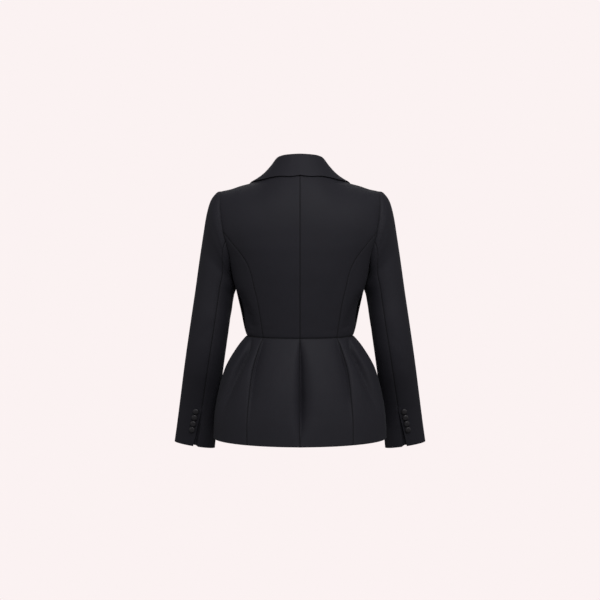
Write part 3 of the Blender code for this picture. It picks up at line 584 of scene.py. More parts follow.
class PatternLines:
    """Where the panels of the bodice are cut, in angle and level."""

    SEAM_SHARE = 9.0 / 16.0

    def pair(self, angle: Array, level: Array) -> Array:
        """An angle and a level as one array."""
        return np.stack(np.broadcast_arrays(angle, level), axis=-1).astype(float)

    def side_level(self, share: Array | float, half: Half) -> Array:
        """The level at a share of the side seam; at 1 it meets the armhole."""
        return share * (UNDERARM_Z - WAIST_Z) / (BODY_FORM.BASES[half] - WAIST_Z)

    def princess(self, share: Array, half: Half) -> Array:
        """The princess seam, from the waist up to the armhole."""
        if half is Half.BACK:
            x = BACK_PRINCESS(WAIST_Z + (BODY_FORM.BASES[half] - WAIST_Z) * share)
            return self.pair(BODY_FORM.angle_of(x, share, half), share)
        level = FRONT_PRINCESS.places[-1] * np.asarray(share, float)
        return self.pair(BODY_FORM.angle_of(FRONT_PRINCESS(level), level, half), level)

    def armhole_above(self, share: Array, half: Half) -> Array:
        """The armhole from the princess seam up to the shoulder tip."""
        table = BACK_ARMHOLE if half is Half.BACK else FRONT_ARMHOLE
        low = table.places[0]
        level = low + (2.0 - low) * np.asarray(share, float)
        return self.pair(BODY_FORM.angle_of(table(level), level, half), level)

    def armhole_below(self, share: Array, half: Half) -> Array:
        """The armhole from the princess seam down to the underarm, a quarter of an oval."""
        angle, level = self.armhole_above(0.0, half)
        end = self.side_level(1.0, half)
        turn = np.radians(90.0 * np.asarray(share, float))
        return self.pair(90.0 - (90.0 - angle) * np.cos(turn), level - (level - end) * np.sin(turn))

    def side_seam(self, share: Array, half: Half) -> Array:
        """The side seam from the waist up to the underarm."""
        return self.pair(90.0, self.side_level(share, half))

    def outer_edge(self, share: Array, half: Half) -> Array:
        """A main panel's outer edge: the princess seam, then the armhole."""
        share = np.asarray(share, float)
        low = self.princess(np.minimum(share / self.SEAM_SHARE, 1.0), half)
        high = self.armhole_above(np.clip((share - self.SEAM_SHARE) / (1.0 - self.SEAM_SHARE), 0, 1), half)
        return np.where((share <= self.SEAM_SHARE)[..., None], low, high)

    def front_edge(self, share: Array) -> Array:
        """The front edge: straight from the waist to the break, then the roll line."""
        level = 2.0 * np.asarray(share, float)
        x = np.where(level < ROLL_LINE.places[0], -WRAP, ROLL_LINE(level))
        return self.pair(BODY_FORM.angle_of(x, level, Half.FRONT), level)

    def back_top(self, share: Array) -> Array:
        """The back neckline, then the shoulder seam."""
        x = TIP_X * np.asarray(share, float)
        level = np.where(x < NECK_X, NAPE_LEVEL + (2.0 - NAPE_LEVEL) * (x / NECK_X) ** 2, 2.0)
        return self.pair(BODY_FORM.angle_of(x, level, Half.BACK), level)

    def front_top(self, share: Array) -> Array:
        """The shoulder seam from the neck to the tip."""
        x = NECK_X + (TIP_X - NECK_X) * np.asarray(share, float)
        return self.pair(BODY_FORM.angle_of(x, 2.0, Half.FRONT), 2.0)


LINES = PatternLines()


def fill_patch(bottom: Callable, top: Callable, left: Callable, right: Callable,
               columns: Array, rows: Array) -> Array:
    """Fills a four-sided patch between its edge curves.

    Args:
        bottom: The lower edge, from a share across to angle and level.
        top: The upper edge.
        left: The first side, from a share up to angle and level.
        right: The other side.
        columns: The shares across.
        rows: The shares up.

    Returns:
        Angle and level of each point, rows first.
    """
    u, v = columns[None, :, None], rows[:, None, None]
    sides = (1 - u) * left(rows)[:, None] + u * right(rows)[:, None]
    ends = (1 - v) * bottom(columns)[None] + v * top(columns)[None]
    zero, one = np.array([0.0]), np.array([1.0])
    corners = ((1 - u) * ((1 - v) * bottom(zero)[None] + v * top(zero)[None])
               + u * ((1 - v) * bottom(one)[None] + v * top(one)[None]))
    return sides + ends - corners


def graded(length: float, step: float, fine_low: bool = True, fine_high: bool = True) -> Array:
    """Shares along a strip, evenly spaced but close together beside its seams.

    Args:
        length: The strip's length in metres.
        step: The usual spacing in metres.
        fine_low: Whether the low end is a seam or edge.
        fine_high: Whether the high end is one.

    Returns:
        The shares, from 0 to 1.
    """
    near = np.array(SEAM_STEPS) / length
    low = near if fine_low else near[:1]
    high = 1.0 - (near if fine_high else near[:1])[::-1]
    count = max(int(round(length * (high[0] - low[-1]) / step)), 2)
    middle = np.linspace(low[-1], high[0], count + 1)[1:-1]
    return np.concatenate([low, middle, high])


def smooth_lines(controls: Array, shares: Array) -> Array:
    """Rounds each row of control points into a smooth line.

    Args:
        controls: Rows of control points, on a last axis of three.
        shares: Where along each line, by length, its points are wanted.

    Returns:
        One row of points for each row of controls.
    """
    rows = []
    for line in controls:
        steps = np.maximum(np.linalg.norm(np.diff(line, axis=0), axis=1), 1e-5)
        places = np.concatenate([[0.0], np.cumsum(steps)])
        rows.append(np.stack([Curve(places, line[:, i])(shares * places[-1]) for i in range(3)], axis=-1))
    return np.array(rows)


def grid_normals(points: Array, outward: Array) -> Array:
    """Normals of a grid of points from its own neighbours, turned outward at its middle."""
    normals = unit(np.cross(np.gradient(points, axis=1), np.gradient(points, axis=0)))
    middle = normals[normals.shape[0] // 2, normals.shape[1] // 2]
    return normals if np.dot(middle, outward) >= 0 else -normals


@dataclass(frozen=True)
class Cut:
    """The flat size of a piece in metres, with its turned-up hem and without seam allowances."""

    width: float
    length: float
    area: float


CUTS = {
    "back": Cut(0.222, 0.439, 0.0622),
    "side_back": Cut(0.120, 0.272, 0.0182),
    "front": Cut(0.169, 0.449, 0.0474),
    "side_front": Cut(0.133, 0.276, 0.0224),
    "peplum_back": Cut(0.135, 0.277, 0.0348),
    "peplum_side_back": Cut(0.155, 0.283, 0.0380),
    "peplum_side_front": Cut(0.152, 0.283, 0.0380),
    "peplum_front": Cut(0.146, 0.274, 0.0385),
    "upper_sleeve": Cut(0.326, 0.658, 0.1166),
    "under_sleeve": Cut(0.173, 0.554, 0.0580),
    "lapel": Cut(0.093, 0.317, 0.0208),
    "collar": Cut(0.450, 0.104, 0.0342),
}


@dataclass
class ClothPiece:
    """One cut piece of cloth: a grid of outer points that becomes a thin shell.

    Rows run along the piece and columns across it. Each edge is a seam, bare or a hem. Beside
    a seam the cloth dips into a ditch and rises to a low welt, and dark_width is how far the
    seam's shadow is drawn. The reaches are how far an edge is drawn out past its line.
    """

    name: str
    points: Array
    normals: Array
    low_row: Edge = Edge.SEAM
    high_row: Edge = Edge.SEAM
    low_column: Edge = Edge.SEAM
    high_column: Edge = Edge.SEAM
    heights: Array | None = None
    seam_weight: dict[str, Array] = field(default_factory=dict)
    thickness: float = 0.0012
    ditch: float = 0.0007
    hem_depth: float = 0.026
    hem_gap: float = 0.0021
    rounding: float = 0.00045
    seam_reach: float = 0.0003
    low_row_reach: float = 0.0
    high_row_reach: float = 0.0
    ditch_width: float = 0.0014
    dip: float = 0.0004
    dip_width: float = 0.009
    welt: float = 0.00022
    welt_place: float = 0.0065
    welt_width: float = 0.0038
    dark_width: float = 0.0011
    hem_turns: tuple[float, ...] = (40.0, 90.0, 140.0, 180.0)
    return_start: float = 0.003
    rim_angle: float = 62.0
    smooth_angle: float = 50.0

    def seam_gaps(self) -> list[tuple[Array, Array]]:
        """For each seamed edge, the metres to it and the seam's weight."""
        across, along = distances(self.points, 1), distances(self.points, 0)
        gaps = {
            "low_row": along, "high_row": along[-1:] - along,
            "low_column": across, "high_column": across[:, -1:] - across,
        }
        return [(gap, self.seam_weight.get(word, np.ones((1, 1))))
                for word, gap in gaps.items() if getattr(self, word) is Edge.SEAM]

    def relief(self) -> tuple[Array, Array]:
        """How far the cloth stands off its plain form, and how much painted seam shade it gets.

        Returns:
            The height of each point, and the painted seam shade: 1 on a seam line fading to 0 beside it.
        """
        height = np.zeros(self.points.shape[:2]) if self.heights is None else self.heights.copy()
        near = np.zeros(height.shape)
        for gap, weight in self.seam_gaps():
            height = height - weight * self.ditch * bell(gap, self.ditch_width)
            height = height - weight * self.dip * bell(gap, self.dip_width)
            height = height + weight * self.welt * bell(gap - self.welt_place, self.welt_width)
            # Painted seam shade: 1 on a seam line, fading to 0 beside it, later darkens the cloth's
            # colour.
            near = np.maximum(near, weight * bell(gap, self.dark_width))
        return height, near

    def turned_hem(self, points: Array, normals: Array, near: Array) -> tuple[Array, Array]:
        """Turns the cloth up inside at a hem, as a round fold and a flat return.

        Args:
            points: The grid, whose last row is the hem.
            normals: The outward normals of the grid.
            near: The painted seam shade of the grid, 1 on a seam line.

        Returns:
            The longer grid of points and of painted seam shade.
        """
        radius = self.hem_gap / 2.0
        down = points[-1] - points[-2]
        normal = normals[-1]
        down = unit(down - normal * np.sum(down * normal, axis=-1, keepdims=True))
        extra = [points[-1] + radius * (down * math.sin(t) - normal * (1.0 - math.cos(t)))
                 for t in np.radians(self.hem_turns)]
        back = np.linalg.norm(np.diff(points[::-1], axis=0), axis=2).mean(axis=1).cumsum()
        for k, length in enumerate(back, start=2):
            if length > self.hem_depth:
                break
            if length > self.return_start:
                extra.append(points[-k] - self.hem_gap * normals[-k])
        plain = np.zeros((len(extra), near.shape[1]))
        return np.concatenate([points, np.array(extra)]), np.concatenate([near, plain])

    def closed_seams(self, points: Array) -> Array:
        """Lets the cloth reach a little past each seam, so that no light shows through."""
        points = points.copy()
        points[0] += self.low_row_reach * unit(points[0] - points[1])
        points[-1] += self.high_row_reach * unit(points[-1] - points[-2])
        for word, lines in (("row", points), ("column", points.swapaxes(0, 1))):
            for end, edge, inner in (("low_", 0, 1), ("high_", -1, -2)):
                if getattr(self, end + word) is Edge.SEAM:
                    lines[edge] += self.seam_reach * unit(lines[edge] - lines[inner])
        return points

    def build(self) -> bpy.types.Object:
        """Makes the mesh of the piece.

        Returns:
            The finished shell, with a UV map in metres and a seam attribute that carries the painted seam
            shade.
        """
        height, near = self.relief()
        points = self.closed_seams(self.points + height[..., None] * self.normals)
        if self.high_row is Edge.HEM:
            points, near = self.turned_hem(points, self.normals, near)
        rows, columns = points.shape[:2]
        bpy.ops.object.select_all(action="DESELECT")
        bpy.ops.mesh.primitive_grid_add(x_subdivisions=columns - 1, y_subdivisions=rows - 1, size=1.0)
        made = bpy.context.object
        made.name = self.name
        mesh = made.data
        mesh.name = self.name
        mesh.vertices.foreach_set("co", points.reshape(-1).astype(np.float32))
        self.write_uv(mesh, points)
        # The seam attribute carries the painted seam shade that darkens the cloth along its seams.
        seam = mesh.attributes.new("seam", "FLOAT", "POINT")
        seam.data.foreach_set("value", near.reshape(-1).astype(np.float32))
        mesh.update()
        self.face_outward(made)
        self.thicken(made)
        return made

    def write_uv(self, mesh: bpy.types.Mesh, points: Array) -> None:
        """Lays the piece out flat, in metres, in its UV map."""
        u, v = distances(points, 1), distances(points, 0)
        u = u - u[:, -1:] / 2.0
        v = np.broadcast_to(v.mean(axis=1, keepdims=True), u.shape)
        flat = np.stack([u, v], axis=-1).reshape(-1, 2)
        corners = np.empty(len(mesh.loops), np.int32)
        mesh.loops.foreach_get("vertex_index", corners)
        mesh.uv_layers[0].name = "cloth"
        mesh.uv_layers[0].uv.foreach_set("vector", flat[corners].reshape(-1).astype(np.float32))

    def face_outward(self, made: bpy.types.Object) -> None:
        """Flips the faces where they look inward."""
        mesh = made.data
        facing = np.empty(len(mesh.polygons) * 3, np.float32)
        mesh.polygons.foreach_get("normal", facing)
        rows, columns = self.normals.shape[:2]
        wanted = self.normals[:-1, :-1].reshape(-1, 3)
        found = facing.reshape(-1, columns - 1, 3)[:rows - 1].reshape(-1, 3)
        if np.sum(wanted * found) < 0.0:
            bpy.ops.object.mode_set(mode="EDIT")
            bpy.ops.mesh.select_all(action="SELECT")
            bpy.ops.mesh.flip_normals()
            bpy.ops.object.mode_set(mode="OBJECT")

    def thicken(self, made: bpy.types.Object) -> None:
        """Gives the cloth its thickness inward and rounds its rims."""
        wall = made.modifiers.new("thickness", "SOLIDIFY")
        wall.thickness = self.thickness
        wall.offset = -1.0
        wall.use_quality_normals = True
        bpy.ops.object.modifier_apply(modifier=wall.name)
        rim = made.modifiers.new("rim", "BEVEL")
        rim.width = self.rounding
        rim.segments = 2
        rim.limit_method = "ANGLE"
        rim.angle_limit = math.radians(self.rim_angle)
        bpy.ops.object.modifier_apply(modifier=rim.name)
        bpy.ops.object.shade_smooth_by_angle(angle=math.radians(self.smooth_angle))


@dataclass
class Bodice:
    """The eight panels of the bodice, cut on the princess lines.

    The lengths and widths only set how many rows and columns of points a panel has.
    """

    step: float = 0.0036
    underlap: float = 0.0042
    lapel_underlap: float = 0.0040
    armhole_reach: float = 0.0020
    waist_reach: float = 0.0008
    lapel_levels: tuple[float, float] = (0.10, 0.40)
    lap_levels: tuple[float, float] = (1.25, 0.84)
    back_length: float = 0.36
    front_width: float = 0.13
    front_length: float = 0.38
    side_width: float = 0.075
    side_length: float = 0.19

    def under_front(self, x: Array, level: Array) -> Array:
        """How far the left front lies below the right one that laps over it."""
        depth = self.underlap + self.lapel_underlap * soft_step(*self.lapel_levels, level)
        return depth * soft_step(*LAP_EDGE, x) * soft_step(*self.lap_levels, level)

    def panel(self, name: str, cells: Array, half: Half, side: Side,
              **edges: Edge | float) -> ClothPiece:
        """One panel from its grid of angles and levels.

        Args:
            name: The name of the piece.
            cells: Angle and level of each grid point.
            half: The back or the front.
            side: The wearer's side.
            edges: How its edges are finished, and how far they reach.

        Returns:
            The cloth piece, not yet a mesh.
        """
        angle, level = cells[..., 0], cells[..., 1]
        points = BODY_FORM.point(angle, level, half)
        normals = BODY_FORM.normal(angle, level, half)
        if half is Half.FRONT and side is Side.LEFT:
            points = points - self.under_front(points[..., 0], level)[..., None] * normals
        heights = all_creases(name, points[..., 0], points[..., 2])
        return ClothPiece(name, points * side.mirror, normals * side.mirror, heights=heights,
                          low_row_reach=self.waist_reach, **edges)

    def build(self) -> list[ClothPiece]:
        """All eight panels."""
        pieces = []
        for side in Side:
            pieces += [self.main_back(side), self.main_front(side)]
            pieces += [self.side_panel(half, side) for half in Half]
        return pieces

    def main_back(self, side: Side) -> ClothPiece:
        """The centre back panel, from the waist to the neckline and shoulder."""
        neck = NECK_X / TIP_X
        columns = np.concatenate([graded(NECK_X, self.step)[:1 - len(SEAM_STEPS)] * neck,
                                  neck + (1 - neck) * graded(TIP_X - NECK_X, self.step, False)])
        straight = LINES.princess(np.array(0.0), Half.BACK)[0]
        cells = fill_patch(lambda u: LINES.pair(straight * u, 0.0 * u), LINES.back_top,
                           lambda v: LINES.pair(0.0 * v, NAPE_LEVEL * v),
                           lambda v: LINES.outer_edge(v, Half.BACK),
                           columns, graded(self.back_length, self.step))
        return self.panel("back_" + side.label, cells, Half.BACK, side)

    def main_front(self, side: Side) -> ClothPiece:
        """The front panel, from the waist to the shoulder, with its edge on the roll line."""
        start, seam = LINES.front_edge(np.array(0.0))[0], LINES.princess(np.array(0.0), Half.FRONT)[0]
        cells = fill_patch(lambda u: LINES.pair(start + (seam - start) * u, 0.0 * u), LINES.front_top,
                           LINES.front_edge, lambda v: LINES.outer_edge(v, Half.FRONT),
                           graded(self.front_width, self.step), graded(self.front_length, self.step))
        return self.panel("front_" + side.label, cells, Half.FRONT, side, low_column=Edge.BARE)

    def side_panel(self, half: Half, side: Side) -> ClothPiece:
        """The side panel between the princess seam and the side seam."""
        start = LINES.princess(np.array(0.0), half)[0]
        cells = fill_patch(lambda u: LINES.pair(start + (90.0 - start) * u, 0.0 * u),
                           lambda u: LINES.armhole_below(u, half),
                           lambda v: LINES.princess(v, half), lambda v: LINES.side_seam(v, half),
                           graded(self.side_width, self.step), graded(self.side_length, self.step))
        return self.panel("side_" + half.label + "_" + side.label, cells, half, side,
                          high_row_reach=self.armhole_reach)


@dataclass
class Peplum:
    """The eight gores below the waist seam, with a deep fold at the centre back.

    The length and width only set how many rows and columns of points a gore has.
    """

    step: float = 0.0030
    underlap: float = 0.0042
    hem_ease: float = 0.001
    waist_reach: float = 0.0010
    length: float = 0.262
    width: float = 0.13
    metres_per_degree: float = 0.0022
    plan_height: float = 0.2385

    def gore(self, name: str, start: Callable, end: Callable, half: Half, side: Side,
             **edges: Edge) -> ClothPiece:
        """One gore between two seams.

        Args:
            name: The name of the piece.
            start: The angle of the first seam at a height.
            end: The angle of the other seam at a height.
            half: The back or the front.
            side: The wearer's side.
            edges: How its edges are finished, where they aren't seams.

        Returns:
            The cloth piece, not yet a mesh.
        """
        height = graded(self.length, self.step, fine_high=False)[:, None]
        share = graded(self.width, self.step)[None, :]
        angle = (start(height) + (end(height) - start(height)) * share) * side.value
        height = np.broadcast_to(height, angle.shape)
        points = SKIRT_FORM.point(angle, height, half)
        normals = SKIRT_FORM.normal(angle, height, half)
        if half is Half.FRONT and side is Side.LEFT:
            sink = (self.underlap - self.hem_ease * height) * soft_step(*LAP_EDGE, points[..., 0])
            points = points - sink[..., None] * unit(normals * LEVEL)
        heights = all_creases(name, np.abs(angle) * self.metres_per_degree, height * self.plan_height)
        return ClothPiece(name, points, normals, high_row=Edge.HEM, heights=heights,
                          low_row_reach=self.waist_reach, **edges)

    def build(self) -> list[ClothPiece]:
        """All eight gores."""
        gores = (("back", self.centre, SKIRT_SEAM, Half.BACK, Edge.SEAM),
                 ("side_back", SKIRT_SEAM, self.side_seam, Half.BACK, Edge.SEAM),
                 ("side_front", SKIRT_SEAM, self.side_seam, Half.FRONT, Edge.SEAM),
                 ("front", self.front_edge, SKIRT_SEAM, Half.FRONT, Edge.BARE))
        return [self.gore("peplum_" + word + "_" + side.label, start, end, half, side, low_column=edge)
                for side in Side for word, start, end, half, edge in gores]

    def centre(self, height: Array) -> Array:
        """The angle of the centre back seam."""
        return 0.0 * height

    def side_seam(self, height: Array) -> Array:
        """The angle of the side seam."""
        return 90.0 + 0.0 * height

    def front_edge(self, height: Array) -> Array:
        """The angle of the front edge, which passes the centre by the wrap."""
        return -np.degrees(np.arcsin(WRAP / SKIRT.half_width(SKIRT_FORM.level_z(height))))


class SleeveForm:
    """The form of a sleeve: t runs round the armhole from the shoulder tip down the back.

    Over the first rings the sleeve changes from the armhole's own outline to a plain oval.
    """

    RINGS = Table("at outer_x outer_z inner_x inner_z centre_y half_depth",
                  [(float(i), *ring) for i, ring in enumerate(SLEEVE_RINGS)])
    CUFF_RING = float(len(SLEEVE_RINGS) - 1)
    FIRST_RING, LAST_RING = 0.15, 15.9
    BLEND_RINGS = 5.0
    BLEND_POWER = 1.5

    def loop(self, t: Array) -> Array:
        """Points of the armhole; 1 and 3 are the princess seams and 2 the underarm."""
        t = np.mod(t, 4.0)
        quarters = ((LINES.armhole_above, 1.0 - t, Half.BACK), (LINES.armhole_below, t - 1.0, Half.BACK),
                    (LINES.armhole_below, 3.0 - t, Half.FRONT), (LINES.armhole_above, t - 3.0, Half.FRONT))
        parts = [BODY_FORM.point(*np.moveaxis(line(np.clip(share, 0, 1), half), -1, 0), half)
                 for line, share, half in quarters]
        which = np.minimum(t.astype(int), 3)
        return np.choose(which[..., None], parts)

    def axes(self, ring: Array) -> tuple[Array, Array, Array]:
        """Middle, outward half width and backward half depth of a ring."""
        table, zero = self.RINGS, 0.0 * ring
        outer = np.stack([table.outer_x(ring), zero, table.outer_z(ring)], axis=-1)
        inner = np.stack([table.inner_x(ring), zero, table.inner_z(ring)], axis=-1)
        middle = (outer + inner) / 2.0 + np.stack([zero, table.centre_y(ring), zero], axis=-1)
        depth = np.stack([zero, table.half_depth(ring), zero], axis=-1)
        return middle, (outer - inner) / 2.0, depth

    def turn(self, t: Array) -> Array:
        """The turn round a ring of each armhole place; 0 is outward and 90 degrees back."""
        middle, half, depth = self.axes(np.zeros(1))
        away = self.loop(t) - middle
        return np.arctan2(away[..., 1] / depth[0, 1], away @ half[0] / (half[0] @ half[0]))

    def point(self, t: Array, ring: Array) -> Array:
        """Points of the sleeve.

        Args:
            t: Places round the armhole.
            ring: Which ring each point lies on; 0 is the armhole and the last one the cuff.

        Returns:
            The points, on a last axis of three.
        """
        t, ring = np.broadcast_arrays(np.asarray(t, float), np.asarray(ring, float))
        turn = self.turn(t)

        def on_ring(at: Array) -> Array:
            middle, half, depth = self.axes(at)
            return middle + half * np.cos(turn)[..., None] + depth * np.sin(turn)[..., None]

        keep = np.clip(1.0 - ring / self.BLEND_RINGS, 0.0, 1.0) ** self.BLEND_POWER
        return on_ring(ring) + keep[..., None] * (self.loop(t) - on_ring(0.0 * ring))

    def normal(self, t: Array, ring: Array) -> Array:
        """The outward normals of the sleeve."""
        t, ring = np.broadcast_arrays(np.asarray(t, float), np.asarray(ring, float))
        outward = self.point(t, ring) - self.axes(ring)[0]
        inside = np.clip(ring, self.FIRST_RING, self.LAST_RING)
        return normals_of(self.point, t, inside, du=0.02, dv=0.1, outward=outward)


SLEEVE_FORM = SleeveForm()


@dataclass
class Sleeves:
    """Two-piece sleeves with an open vent at the back of each cuff.

    The hind and fore seams, and the places beside them, are counted in quarters of the armhole.
    """

    step: float = 0.0036
    hind: float = 1.0 + 1.0 / 6.0
    fore: float = 2.0 + 2.0 / 3.0
    vent_start: float = -0.528
    vent_end: float = -0.542
    cuff_z: float = -0.622
    tuck: float = 0.0085
    underlap: float = 0.29
    vent_gap: float = 0.125
    vent_lift: float = 0.0013
    lift_places: tuple[float, float] = (0.22, 0.085)
    tuck_places: tuple[float, float] = (0.075, 0.125)
    underlap_places: tuple[float, float] = (-0.40, 0.085)
    cuff_swing: float = 0.085
    swing_start: float = 10.0
    upper_swing_end: float = 0.6
    under_swing_end: float = 1.9
    head_reach: float = 0.0020
    head_seam: float = 0.3
    metres_per_radian: float = 0.055
    spacing_place: float = 0.5
    spacing_ring: float = 7.0

    def rows(self) -> Array:
        """The ring of each row of points, evenly spaced down the arm."""
        fine = np.linspace(0.0, SLEEVE_FORM.CUFF_RING, 321)
        length = distances(SLEEVE_FORM.point(np.full(fine.shape, self.spacing_place), fine))
        shares = graded(length[-1], self.step, fine_high=False)
        return np.interp(shares * length[-1], length, fine)

    def columns(self, start: float, end: float) -> Array:
        """The places round the arm between two seams, evenly spaced on the upper arm."""
        fine = np.linspace(start, end, 401)
        length = distances(SLEEVE_FORM.point(fine, np.full(fine.shape, self.spacing_ring)))
        return np.interp(graded(length[-1], self.step) * length[-1], length, fine)

    def swing(self, ring: Array) -> Array:
        """How far the hindarm seam swings outward as it nears the cuff."""
        return self.cuff_swing * soft_step(self.swing_start, SLEEVE_FORM.CUFF_RING, ring)

    def near_hind(self, places: tuple[float, float], t: Array) -> Array:
        """A soft step between two places, each given by how far it lies before the hindarm seam."""
        return soft_step(self.hind - places[0], self.hind - places[1], t)

    def vent(self, z: Array) -> Array:
        """0 above the vent and 1 where it is open."""
        return soft_step(self.vent_start, self.vent_end, z)

    def opened(self, z: Array) -> Array:
        """How far the vent stands open, from 0 at its top to 1 at the hem."""
        return np.clip((self.vent_start - z) / (self.vent_start - self.cuff_z), 0.0, 1.0)

    def heights(self, name: str, t: Array, points: Array) -> Array:
        """The creases of a sleeve, drawn by turn round the arm and by height."""
        turn = np.unwrap(SLEEVE_FORM.turn(t), axis=1)
        turn = turn - 2.0 * math.pi * np.round(np.median(turn) / (2.0 * math.pi))
        return all_creases(name, turn * self.metres_per_radian, points[..., 2])

    def upper(self, side: Side) -> ClothPiece:
        """The upper sleeve, over the outside of the arm."""
        ring, t = np.meshgrid(self.rows(), self.columns(self.fore - 4.0, self.hind), indexing="ij")
        t = t - self.swing(ring) * soft_step(self.upper_swing_end, self.hind, t)
        edge = SLEEVE_FORM.point(t[:, -1:], ring[:, -1:])[..., 2]
        t = t - self.opened(edge) * self.vent_gap * soft_step(self.upper_swing_end, self.hind, t)
        vent = self.vent(SLEEVE_FORM.point(t, ring)[:, -1:, 2])
        step = vent * self.vent_lift * self.near_hind(self.lift_places, t)
        return self.piece("upper_sleeve_" + side.label, t, ring, step, {"high_column": 1.0 - vent}, side)

    def under(self, side: Side) -> ClothPiece:
        """The under sleeve, whose back edge runs in below the upper one at the vent."""
        ring, t = np.meshgrid(self.rows(), self.columns(self.hind, self.fore), indexing="ij")
        t = t - self.swing(ring) * soft_step(self.under_swing_end, self.hind, t)
        vent = self.vent(SLEEVE_FORM.point(t[:, :1], ring[:, :1])[..., 2])
        t = t - vent * self.underlap * self.near_hind(self.underlap_places, t)
        step = -(vent * self.tuck * self.near_hind(self.tuck_places, t))
        return self.piece("under_sleeve_" + side.label, t, ring, step, {"low_column": 1.0 - vent}, side)

    def piece(self, name: str, t: Array, ring: Array, step: Array, weights: dict[str, Array],
              side: Side) -> ClothPiece:
        """A cloth piece of a sleeve, eased into the armhole and turned up at the cuff.

        Args:
            name: The name of the piece.
            t: The place round the armhole of each grid point.
            ring: The ring of each grid point.
            step: How far the cloth stands out beside the vent.
            weights: How strongly its open seam is drawn in.
            side: The wearer's side.

        Returns:
            The cloth piece, not yet a mesh.
        """
        points, normals = SLEEVE_FORM.point(t, ring), SLEEVE_FORM.normal(t, ring)
        return ClothPiece(name, points * side.mirror, normals * side.mirror, high_row=Edge.HEM,
                          heights=self.heights(name, t, points) + step, low_row_reach=self.head_reach,
                          seam_weight={**weights, "low_row": np.full((1, 1), self.head_seam)})

    def build(self) -> list[ClothPiece]:
        """Both pieces of both sleeves."""
        return [piece for side in Side for piece in (self.upper(side), self.under(side))]


